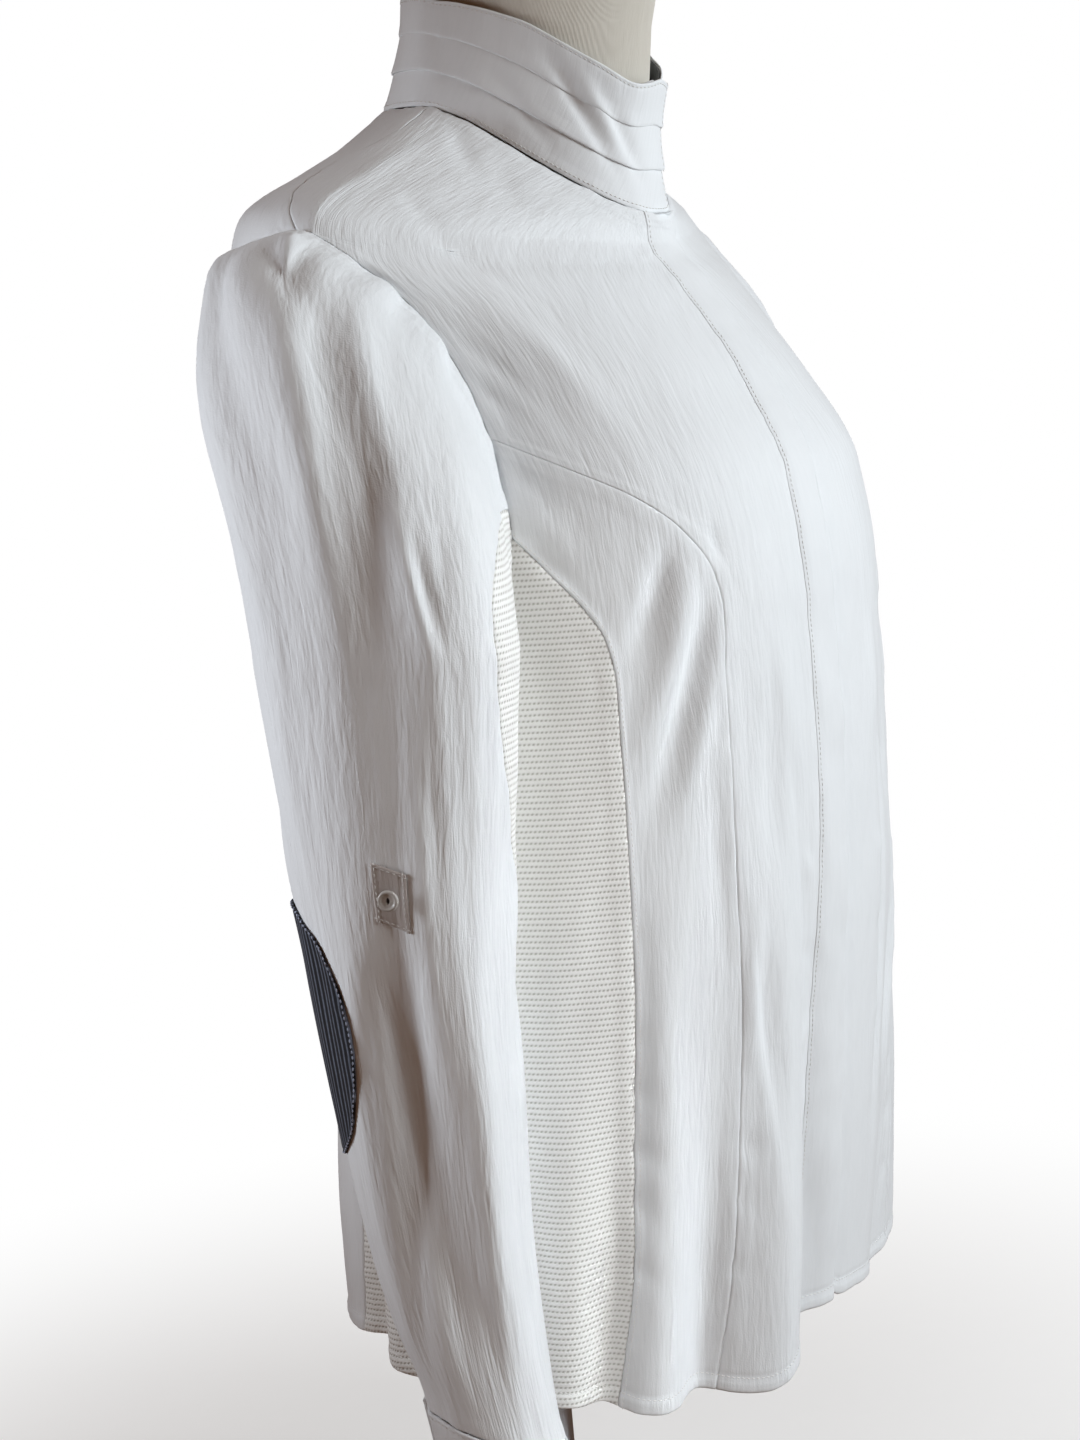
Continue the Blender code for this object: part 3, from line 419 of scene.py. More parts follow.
def trunk_creases(turn, along):
    """How far the creases lift the trunk.  The left half's differ a little from the right's."""
    around = (turn + 180) % 360 - 180
    from_front = np.abs(around)
    left = around < 0
    spot = np.where(left, from_front + 2.5 * np.sin(along * 23), from_front)
    height = np.where(left, along + 0.012 * np.sin(from_front / 17), along)
    inner = smooth_step((from_front - CREASE_FRONT) / 8 + 0.5) * smooth_step((174 - from_front) / 8 + 0.5)
    lift = relief(TRUNK_CREASES, spot, height, TRUNK_DEGREE, 1.0) * inner
    reach = around * TRUNK_DEGREE
    low = smooth_step((0.42 - along) / 0.30)
    lift = lift + (0.0003 + 0.0004 * low) * ripple(reach, along, 0.017, 0.060, 3)
    return lift + 0.00022 * ripple(reach, along, 0.0065, 0.022, 4)


def shirt(turn, along):
    """A point on the trunk of the shirt, with its folds and creases."""
    turn, along = np.broadcast_arrays(np.asarray(turn, float), np.asarray(along, float))
    lift = relief(TRUNK_FOLDS, turn, along, TRUNK_DEGREE, 1.0) + trunk_creases(turn, along)
    return trunk(turn, along) + lift[..., None] * facing(trunk, turn, along, 0.4, 0.002)


def turn_at(x, along):
    """The turn at which the front of the trunk has the given x."""
    wide = through(along, BODY["along"], BODY["wide"])
    square = through(along, BODY["along"], BODY["square"])
    return -np.degrees(np.arcsin(signed_power(x / wide, square / 2)))


# ---------------------------------------------------------------- grids of points

# Where the points lie beside an edge, so that its fold and its stitching show, in metres.
NEAR_EDGE = np.array([0, 0.0006, 0.0013, 0.0021, 0.0030, 0.0045, 0.0070, 0.0086, 0.0105])
NEAR_SHARE = 0.42            # on a small piece they take up no more than this share of it
CELL = 0.0042                # and how far apart elsewhere on the trunk
FINE_CELL = 0.0036           # and on the sleeves, collar and cuffs


def run_length(line):
    """How far each point of a line is from its start, along the line."""
    return np.concatenate([[0], np.cumsum(np.linalg.norm(np.diff(line, axis=0), axis=1))])


def shares(length, cell=CELL, start=True, end=True):
    """Places from 0 to 1 along a length, a cell apart and closer at its finished edges."""
    near = NEAR_EDGE[NEAR_EDGE < NEAR_SHARE * length]
    head = near if start else NEAR_EDGE[:1]
    tail = near if end else NEAR_EDGE[:1]
    count = max(2, round((length - head[-1] - tail[-1]) / cell))
    middle = np.linspace(head[-1], length - tail[-1], count + 1)
    return np.concatenate([head, middle[1:-1], length - tail[::-1]]) / length


def stations(seam, places, crowd=1.0):
    """Points (turn, along) at shares of a seam's smooth line, closer at its end if crowded."""
    line = np.stack([seam["turn"], seam["along"]], -1)
    way = run_length(line * [TRUNK_DEGREE, 1])
    fine = np.linspace(0, way[-1], 400)
    dense = np.stack([through(fine, way, line[:, 0]), through(fine, way, line[:, 1])], -1)
    real = run_length(trunk(dense[:, 0], dense[:, 1]))
    spaced = real[-1] * (1 - (1 - places) ** crowd)
    return np.stack([np.interp(spaced, real, dense[:, 0]), np.interp(spaced, real, dense[:, 1])], -1)


def join(*lines):
    """Lines end to end, without their shared points."""
    return np.concatenate([lines[0]] + [line[1:] for line in lines[1:]])


def span(first, last, places, top=None):
    """A grid (rows, columns, 2) from one side line to the other, its last row bent to a top line."""
    blend = places[None, :, None]
    grid = first[:, None] * (1 - blend) + last[:, None] * blend
    if top is not None:
        weight = (np.linspace(0, 1, len(first)) ** 3)[:, None, None]
        grid = grid + weight * (top - grid[-1])[None]
    return grid


def shrink(points, gap, closed=False):
    """A grid of points with its edges drawn in by a gap."""
    points = points.copy()
    sides = [(np.s_[0], np.s_[1]), (np.s_[-1], np.s_[-2])]
    if not closed:
        sides += [(np.s_[:, 0], np.s_[:, 1]), (np.s_[:, -1], np.s_[:, -2])]
    for edge, beside in sides:
        points[edge] += gap * unit(points[beside] - points[edge])
    return points


EDGE_AXIS = {"bottom": (0, 1), "top": (0, -1), "first": (1, 1), "last": (1, -1)}


def from_edge(points, edge):
    """The grid with its first axis running inwards from an edge, and how far each point is from it."""
    axis, way = EDGE_AXIS[edge]
    lines = np.moveaxis(points, axis, 0)[::way]
    step = np.linalg.norm(np.diff(lines, axis=0), axis=-1)
    return lines, np.concatenate([np.zeros((1, step.shape[1])), np.cumsum(step, axis=0)])


def away_from(points, edge):
    """How far each point of a grid is from an edge, in the grid's own order."""
    axis, way = EDGE_AXIS[edge]
    return np.moveaxis(from_edge(points, edge)[1][::way], 0, axis)


def grid_normals(points, middle):
    """Unit normals of a grid that face away from the line straight up through middle (x, y)."""
    normal = unit(np.cross(np.gradient(points, axis=0), np.gradient(points, axis=1)))
    out = points - [*middle, 0]
    if np.sum(normal[..., :2] * unit(out[..., :2])) < 0:
        normal = -normal
    return normal


# ---------------------------------------------------------------- shells of cloth

# How each kind of edge is finished, in metres: its very edge turns in this far over this width, the
# turned-in allowance lifts the cloth so much as far as this, and stitching pulls it in here.
EDGES = {
    "seam": dict(turns=0.0004, round=0.0006, lifts=0.0003, reach=0.0080, stitch=0.0000, pull=0.0000),
    "joined": dict(turns=0.0002, round=0.0005, lifts=0.0003, reach=0.0034, stitch=0.0024, pull=0.0003),
    "felled": dict(turns=0.0009, round=0.0007, lifts=0.0006, reach=0.0040, stitch=0.0032, pull=0.0004),
    "hem": dict(turns=0.0005, round=0.0006, lifts=0.0007, reach=0.0078, stitch=0.0082, pull=0.0005),
    "folded": dict(turns=0.0004, round=0.0006, lifts=0.0002, reach=0.0050, stitch=0.0000, pull=0.0000),
    "sewn": dict(turns=0.0006, round=0.0007, lifts=0.0003, reach=0.0030, stitch=0.0021, pull=0.0006),
    "cap": dict(turns=0.0010, round=0.0009, lifts=0.0009, reach=0.0070, stitch=0.0000, pull=0.0000),
    "plain": dict(turns=0.0003, round=0.0006, lifts=0.0000, reach=0.0050, stitch=0.0000, pull=0.0000),
}
FOLD_SOFT = 0.0014           # the step at the end of a turned-in allowance
STITCH_WIDE = 0.0009         # width of the groove that stitching pulls
PUCKER = 0.00040             # height of the small puckers beside stitching


def edge_lift(away, beside, kind):
    """How far an edge's finish lifts the cloth, at points away from it and along beside it."""
    edge = EDGES[kind]
    lift = edge["lifts"] * smooth_step((edge["reach"] - away) / FOLD_SOFT + 0.5)
    lift = lift - edge["turns"] * np.exp(-((away / edge["round"]) ** 2))
    lift = lift - edge["pull"] * np.exp(-(((away - edge["stitch"]) / STITCH_WIDE) ** 2))
    pucker = PUCKER * ripple(beside, away, 0.0065, 0.020, 7) * np.exp(-away / 0.010)
    return lift + (pucker if kind != "plain" else 0)


def shell_faces(rows, columns, closed):
    """Quads of an outer and an inner grid of points, and of the rims between them."""
    size = rows * columns
    index = np.arange(size).reshape(rows, columns)
    if closed:
        index = np.concatenate([index, index[:, :1]], axis=1)
    low, high = index[:-1], index[1:]
    quads = np.stack([low[:, :-1], low[:, 1:], high[:, 1:], high[:, :-1]], -1).reshape(-1, 4)
    faces = [quads, quads[:, ::-1] + size]
    rims = [index[0, ::-1], index[-1]]
    if not closed:
        rims += [index[:, 0], index[::-1, -1]]
    for rim in rims:
        faces.append(np.stack([rim[:-1], rim[1:], rim[1:] + size, rim[:-1] + size], -1))
    return np.concatenate(faces)


def add_mesh(name, points, faces, finish, places=None):
    """A smooth mesh, turned the right way out, with its places on the cloth as a UV map in metres."""
    mesh = bpy.data.meshes.new(name)
    mesh.from_pydata(points.tolist(), [], [list(face) for face in faces])
    mesh.shade_smooth()
    if places is not None:
        layer = mesh.uv_layers.new(name="cloth")
        corner = np.zeros(len(mesh.loops), np.int32)
        mesh.loops.foreach_get("vertex_index", corner)
        layer.data.foreach_set("uv", places[corner].astype(np.float32).ravel())
    mesh.calc_loop_triangles()
    triangles = np.zeros(3 * len(mesh.loop_triangles), np.int32)
    mesh.loop_triangles.foreach_get("vertices", triangles)
    corners = points[triangles.reshape(-1, 3)]
    if np.einsum("ij,ij->", corners[:, 0], np.cross(corners[:, 1], corners[:, 2])) < 0:
        mesh.flip_normals()
    mesh.materials.append(finish)
    made = bpy.data.objects.new(name, mesh)
    bpy.context.scene.collection.objects.link(made)
    return made


FACES = {}                   # each piece's outer face and its normals, for what is sewn on it
STITCH_STANDS = 0.0001       # a stitch's middle lies this far off the cloth


def cloth(name, points, finish, edges, middle, thick=SHELL, places=None):
    """A thin shell of cloth under a grid of points.  edges names the finish of each of its edges, and
    places where its threads run, in metres across and along the cloth."""
    points = shrink(points, EASE)
    normal = grid_normals(points, middle)
    lift = np.zeros(points.shape[:2])
    across = away_from(points, "first")
    up = away_from(points, "bottom")
    for edge, kind in edges.items():
        beside = across if EDGE_AXIS[edge][0] == 0 else up
        lift = lift + edge_lift(away_from(points, edge), beside, kind)
    outer = points + lift[..., None] * normal
    inner = points + (np.minimum(lift, 0) - thick)[..., None] * normal
    if places is None:
        centre = across[:, across.shape[1] // 2]
        grain = up[:, up.shape[1] // 2]
        places = np.stack([across - centre[:, None], np.broadcast_to(grain[:, None], across.shape)], -1)
    places = places.reshape(-1, 2)
    made = add_mesh(name, np.concatenate([outer.reshape(-1, 3), inner.reshape(-1, 3)]),
                    shell_faces(*points.shape[:2], False), finish, np.concatenate([places, places]))
    FACES[name] = (outer, normal)
    return made


def line_inside(name, edge, distance):
    """The line on a piece's face that runs at a distance inside one of its edges."""
    outer, normal = FACES[name]
    lines, away = from_edge(outer, edge)
    axis, way = EDGE_AXIS[edge]
    normals = np.moveaxis(normal, axis, 0)[::way]
    spots = []
    for j in range(lines.shape[1]):
        spot = [np.interp(distance, away[:, j], lines[:, j, i] + STITCH_STANDS * normals[:, j, i])
                for i in range(3)]
        spots.append(spot)
    return np.array(spots)


# ---------------------------------------------------------------- materials

def linear(hex_colour):
    """An sRGB hex colour as linear values."""
    parts = [int(hex_colour[i:i + 2], 16) / 255 for i in (1, 3, 5)]
    return (*(p / 12.92 if p <= 0.04045 else ((p + 0.055) / 1.055) ** 2.4 for p in parts), 1)


def add(tree, kind, inputs=None, **settings):
    """A new node with its settings, and its inputs set to values or linked to sockets."""
    made = tree.nodes.new(kind)
    for name, value in settings.items():
        setattr(made, name, value)
    for name, value in (inputs or {}).items():
        if isinstance(value, bpy.types.NodeSocket):
            tree.links.new(value, made.inputs[name])
        else:
            made.inputs[name].default_value = value
    return made


def new_material(name, **values):
    """A material with its shader's own values set."""
    made = bpy.data.materials.new(name)
    made.use_nodes = True
    shader = made.node_tree.nodes["Principled BSDF"]
    for socket, value in values.items():
        shader.inputs[socket.replace("_", " ")].default_value = value
    return made, made.node_tree, shader


def scaled(tree, source, sizes, turn=0.0):
    """Coordinates counted in pattern sizes, in metres, instead of metres."""
    placing = {"Vector": source, "Scale": [1 / size for size in sizes], "Rotation": (0, 0, turn)}
    return add(tree, "ShaderNodeMapping", placing).outputs[0]


def noise(tree, vector, detail=2.0, roughness=0.5, distortion=0.0):
    """Soft noise whose blobs are about one unit of the coordinates wide."""
    return add(tree, "ShaderNodeTexNoise", {"Vector": vector, "Scale": 1.0, "Detail": detail,
                                            "Roughness": roughness, "Distortion": distortion}).outputs[0]


def maths(tree, operation, *values):
    """The result of a sum on numbers or sockets."""
    made = add(tree, "ShaderNodeMath", operation=operation)
    for i, value in enumerate(values):
        if isinstance(value, bpy.types.NodeSocket):
            tree.links.new(value, made.inputs[i])
        else:
            made.inputs[i].default_value = value
    return made.outputs[0]


def mixed(tree, factor, first, second):
    """A colour between two others."""
    made = add(tree, "ShaderNodeMix", {"Factor": factor}, data_type="RGBA")
    for socket, value in ((made.inputs[6], first), (made.inputs[7], second)):
        if isinstance(value, bpy.types.NodeSocket):
            tree.links.new(value, socket)
        else:
            socket.default_value = value
    return made.outputs[2]


def wave(tree, angle, size=0.5, middle=0.5):
    """A wave of an angle that runs between middle - size and middle + size."""
    return maths(tree, "MULTIPLY_ADD", maths(tree, "COSINE", angle), size, middle)


def coloured(tree, shader, factor, first, second):
    """Sets the shader's colour to a mix of two hex colours."""
    tree.links.new(mixed(tree, factor, linear(first), linear(second)), shader.inputs["Base Color"])


def bumped(tree, shader, height, distance):
    """Raises the shader's surface by a height, in metres for each unit of it."""
    bump = add(tree, "ShaderNodeBump", {"Height": height, "Distance": distance, "Strength": 1.0})
    tree.links.new(bump.outputs[0], shader.inputs["Normal"])


def crepe_material(name, light, shade, depth):
    """Woven polyamide and elastane shirting with a crepe face: a smooth cloth whose fine upright
    crinkle breaks its soft sheen into streaks 1 to 2 mm wide and 10 to 25 mm long."""
    made, tree, shader = new_material(name, Roughness=0.62, Specular_IOR_Level=0.22, Sheen_Weight=0.2,
                                      Sheen_Roughness=0.5)
    place = add(tree, "ShaderNodeUVMap", uv_map="cloth").outputs[0]
    crinkle = noise(tree, scaled(tree, place, (0.0019, 0.016, 1)), 2.0, 0.5, 0.4)
    wide = noise(tree, scaled(tree, place, (0.0050, 0.028, 1)), 1.0, 0.5, 0.6)
    weave = noise(tree, scaled(tree, place, (0.0007, 0.0009, 1)), 1.0)
    tone = noise(tree, scaled(tree, place, (0.05, 0.09, 1)), 2.0)
    height = maths(tree, "ADD", maths(tree, "MULTIPLY", crinkle, 0.8), maths(tree, "MULTIPLY", wide, 1.0))
    height = maths(tree, "ADD", height, maths(tree, "MULTIPLY", weave, 0.15))
    fade = maths(tree, "MULTIPLY", maths(tree, "ADD", tone, crinkle), 0.5)
    coloured(tree, shader, fade, shade, light)
    bumped(tree, shader, height, depth)
    return made


KNIT_ROWS = 0.0028           # how far apart the knit's rows are
KNIT_DIMPLES = 0.0021        # and its dimples
STRIPES = 0.0036             # and the suiting's stripes
TWILL_RIBS = 0.0014          # and the ribs of the form's twill


def knit_material():
    """Polyester airmesh knit, off-white and matt: soft ribs with a row of small dimples between each
    two.  The rows are 2.8 mm apart, and the dimples 2.1 mm, half as fine again in the real one."""
    made, tree, shader = new_material("cream_airmesh_knit", Roughness=0.7, Specular_IOR_Level=0.3,
                                      Sheen_Weight=0.2, Sheen_Roughness=0.5)
    place = add(tree, "ShaderNodeUVMap", uv_map="cloth").outputs[0]
    level = add(tree, "ShaderNodeTexCoord").outputs["Object"]
    wales = scaled(tree, place, (KNIT_DIMPLES / math.tau, 1, 1))
    wale = add(tree, "ShaderNodeSeparateXYZ", {0: wales}).outputs[0]
    courses = scaled(tree, level, (1, 1, KNIT_ROWS / math.tau))
    course = add(tree, "ShaderNodeSeparateXYZ", {0: courses}).outputs[2]
    row = maths(tree, "POWER", wave(tree, course), 2.0)
    staggered = maths(tree, "MULTIPLY_ADD", course, 0.5, wale)
    dimple = wave(tree, staggered, 0.4, 0.6)
    dimple_and_shade = maths(tree, "MULTIPLY", row, dimple)
    yarn = noise(tree, scaled(tree, place, (0.0005, 0.0004, 1)), 2.0)
    tone = noise(tree, scaled(tree, place, (0.03, 0.03, 1)), 2.0)
    face = mixed(tree, tone, linear("#f1f1ee"), linear("#f9f9f7"))
    # The dimples are coloured greyer than the knit's face: painted shade in them, on top of their real depth
    # in the bump.
    tree.links.new(mixed(tree, dimple_and_shade, face, linear("#c2c0b9")), shader.inputs["Base Color"])
    height = maths(tree, "SUBTRACT", maths(tree, "MULTIPLY", yarn, 0.25), dimple_and_shade)
    bumped(tree, shader, height, 0.00038)
    return made


def stripe_material():
    """Worsted suiting, near-black navy with a fine pale pinstripe every 3.6 mm and a slight twill."""
    made, tree, shader = new_material("navy_pinstripe_suiting", Roughness=0.85, Specular_IOR_Level=0.15,
                                      Sheen_Weight=0.1, Sheen_Roughness=0.5)
    place = add(tree, "ShaderNodeUVMap", uv_map="cloth").outputs[0]
    across = scaled(tree, place, (STRIPES / math.tau, 0.0008, 1), 0.05)
    parts = add(tree, "ShaderNodeSeparateXYZ", {"Vector": across})
    stripe = maths(tree, "POWER", wave(tree, parts.outputs[0]), 4.0)
    broken = noise(tree, scaled(tree, place, (0.0010, 0.0020, 1)), 2.0)
    stripe = maths(tree, "MULTIPLY", stripe, maths(tree, "MULTIPLY_ADD", broken, 0.8, 0.3))
    twill = noise(tree, scaled(tree, place, (0.0008, 0.0030, 1), 0.6), 1.0)
    face = mixed(tree, twill, linear("#0e0f13"), linear("#1d1e25"))
    tree.links.new(mixed(tree, stripe, face, linear("#7d8596")), shader.inputs["Base Color"])
    bumped(tree, shader, maths(tree, "ADD", twill, stripe), 0.00020)
    return made


def heather_material():
    """Grey heathered cotton facing: dark and light fibres twisted together, matt."""
    made, tree, shader = new_material("grey_heather_cotton", Roughness=0.85, Specular_IOR_Level=0.2,
                                      Sheen_Weight=0.2)
    place = add(tree, "ShaderNodeUVMap", uv_map="cloth").outputs[0]
    fibre = noise(tree, scaled(tree, place, (0.0007, 0.0035, 1)), 3.0, 0.7)
    coloured(tree, shader, fibre, "#35383b", "#75797a")
    bumped(tree, shader, fibre, 0.0002)
    return made


def linen_material():
    """Cream cotton twill over a padded form: a matt cloth with diagonal ribs 1.4 mm apart."""
    made, tree, shader = new_material("cream_form_twill", Roughness=0.85, Specular_IOR_Level=0.2,
                                      Sheen_Weight=0.15)
    place = add(tree, "ShaderNodeUVMap", uv_map="cloth").outputs[0]
    across = scaled(tree, place, (TWILL_RIBS / math.tau, 0.01, 1), 0.6)
    parts = add(tree, "ShaderNodeSeparateXYZ", {"Vector": across})
    rib = wave(tree, parts.outputs[0])
    slub = noise(tree, scaled(tree, place, (0.0012, 0.012, 1)), 2.0)
    height = maths(tree, "MULTIPLY_ADD", slub, 0.6, rib)
    coloured(tree, shader, maths(tree, "MULTIPLY", height, 0.6), "#dfd8ca", "#f6f1e6")
    bumped(tree, shader, height, 0.0003)
    return made


def pearl_material():
    """Pressed polyester button with a pearl finish: pale, a little cloudy, and glossy."""
    made, tree, shader = new_material("pearl_polyester", Roughness=0.38, IOR=1.50, Coat_Weight=0.1,
                                      Coat_Roughness=0.1)
    place = add(tree, "ShaderNodeTexCoord").outputs["Object"]
    cloud = noise(tree, scaled(tree, place, (0.004, 0.004, 0.002)), 3.0, 0.6, 1.0)
    coloured(tree, shader, cloud, "#a09b96", "#c4bfba")
    bumped(tree, shader, cloud, 0.00005)
    return made


def thread_material(name, colour, shade):
    """Core-spun polyester sewing thread: two plies, faintly glossy, drawn as fine slanting ridges."""
    made, tree, shader = new_material(name, Roughness=0.45, Sheen_Weight=0.3)
    place = add(tree, "ShaderNodeTexCoord").outputs["Object"]
    ply = noise(tree, scaled(tree, place, (0.0004, 0.0004, 0.0004)), 1.0)
    coloured(tree, shader, ply, shade, colour)
    bumped(tree, shader, ply, 0.0001)
    return made


def steel_material(name, stretch):
    """Satin stainless steel, brushed: a soft grey gloss drawn out along the brushing."""
    made, tree, shader = new_material(name, Metallic=1.0)
    place = add(tree, "ShaderNodeTexCoord").outputs["Object"]
    brush = noise(tree, scaled(tree, place, stretch), 4.0, 0.6)
    coloured(tree, shader, brush, "#a9a9ab", "#c6c6c8")
    tree.links.new(maths(tree, "MULTIPLY_ADD", brush, 0.18, 0.24), shader.inputs["Roughness"])
    bumped(tree, shader, brush, 0.00004)
    return made


def floor_material():
    """Matt pale studio card with a barely visible tooth."""
    made, tree, shader = new_material("studio_card", Roughness=0.9, Specular_IOR_Level=0.1)
    place = add(tree, "ShaderNodeTexCoord").outputs["Object"]
    tooth = noise(tree, scaled(tree, place, (0.02, 0.02, 0.02)), 2.0)
    coloured(tree, shader, tooth, "#f1f1f0", "#f6f6f5")
    far = add(tree, "ShaderNodeVectorMath", {0: place}, operation="LENGTH").outputs["Value"]
    fade = add(tree, "ShaderNodeMapRange", {"Value": far, "From Min": FLOOR_SHADED, "From Max": FLOOR_WHITE,
                                             "To Min": 0.55},
               interpolation_type="SMOOTHSTEP").outputs[0]
    lit = add(tree, "ShaderNodeEmission", {"Color": linear("#ffffff"), "Strength": 1.0})
    blend = add(tree, "ShaderNodeMixShader", {0: fade, 1: shader.outputs[0], 2: lit.outputs[0]})
    tree.links.new(blend.outputs[0], tree.nodes["Material Output"].inputs["Surface"])
    return made


CREPE = crepe_material("white_crepe_shirting", "#eef0f2", "#dfe2e4", 0.00060)
PRESSED_CREPE = crepe_material("pressed_crepe_shirting", "#eef0f2", "#e2e5e7", 0.00038)
INTERLINED_CREPE = crepe_material("interlined_crepe_shirting", "#eef0f2", "#e2e5e7", 0.00018)
# A darker grey copy of the white crepe for the tab patches: painted shade on them.
TAB_SHADED_CREPE = crepe_material("painted_shade_crepe_shirting", "#c3bcb8", "#b3aba7", 0.00050)
KNIT = knit_material()
STRIPE = stripe_material()
HEATHER = heather_material()
LINEN = linen_material()
PEARL = pearl_material()
THREAD = thread_material("white_thread", "#efeeec", "#d6d3cf")
BLUE_THREAD = thread_material("ice_blue_thread", "#b9c2d6", "#8d97b2")
# Near-black thread for the buttons' slots: painted shade in the slots.
SLOT_SHADE_THREAD = thread_material("painted_slot_shade_thread", "#2b2a2b", "#121112")
STEEL_POLE = steel_material("brushed_steel_column", (0.0006, 0.0006, 0.03))
STEEL_BASE = steel_material("brushed_steel_plate", (0.0006, 0.02, 0.001))

# ---------------------------------------------------------------- the sleeves

# One row for each section down the right sleeve.
SLEEVE = table("""
height  x        y        y_left   across  thick   square
-0.040  -0.2350  -0.0800   0.0000  0.0315  0.0305  2.00
 0.020  -0.2350  -0.0705   0.0000  0.0315  0.0305  2.00
 0.060  -0.2350  -0.0610   0.0010  0.0355  0.0330  2.05
 0.110  -0.2340  -0.0540   0.0020  0.0390  0.0360  2.10
 0.170  -0.2320  -0.0490   0.0020  0.0440  0.0390  2.10
 0.240  -0.2290  -0.0440   0.0000  0.0485  0.0430  2.10
 0.310  -0.2260  -0.0420  -0.0040  0.0565  0.0460  2.10
 0.380  -0.2240  -0.0420  -0.0100  0.0640  0.0490  2.10
""")
UPPER_ARM = 0.380            # height above the hem of reach 1
CUFF_SEAM = 0.020            # height above the hem of reach 2
CUFF_END = 2 + (CUFF_SEAM + 0.040) / (UPPER_ARM - CUFF_SEAM)

# The large folds of the right sleeve, with phi and reach at both ends.
SLEEVE_FOLDS = table("""
turn0  along0  turn1  along1  width0  width1  raise    peak
205    0.00    212    1.00    0.050   0.040    0.0030  0.40
184    0.03    166    1.50    0.013   0.016   -0.0010  0.35
224    0.08    202    1.40    0.012   0.015    0.0050  0.40
112    0.05    112    1.05    0.016   0.018    0.0050  0.40
150    1.30    196    2.00    0.013   0.011   -0.0060  0.55
175    1.30    205    2.00    0.008   0.008    0.0030  0.50
238    0.08    232    0.95    0.012   0.013   -0.0050  0.40
262    0.10    268    1.25    0.016   0.016    0.0050  0.45
292    0.20    285    1.35    0.014   0.014   -0.0040  0.50
120    1.20    118    1.90    0.014   0.012    0.0030  0.50
""")

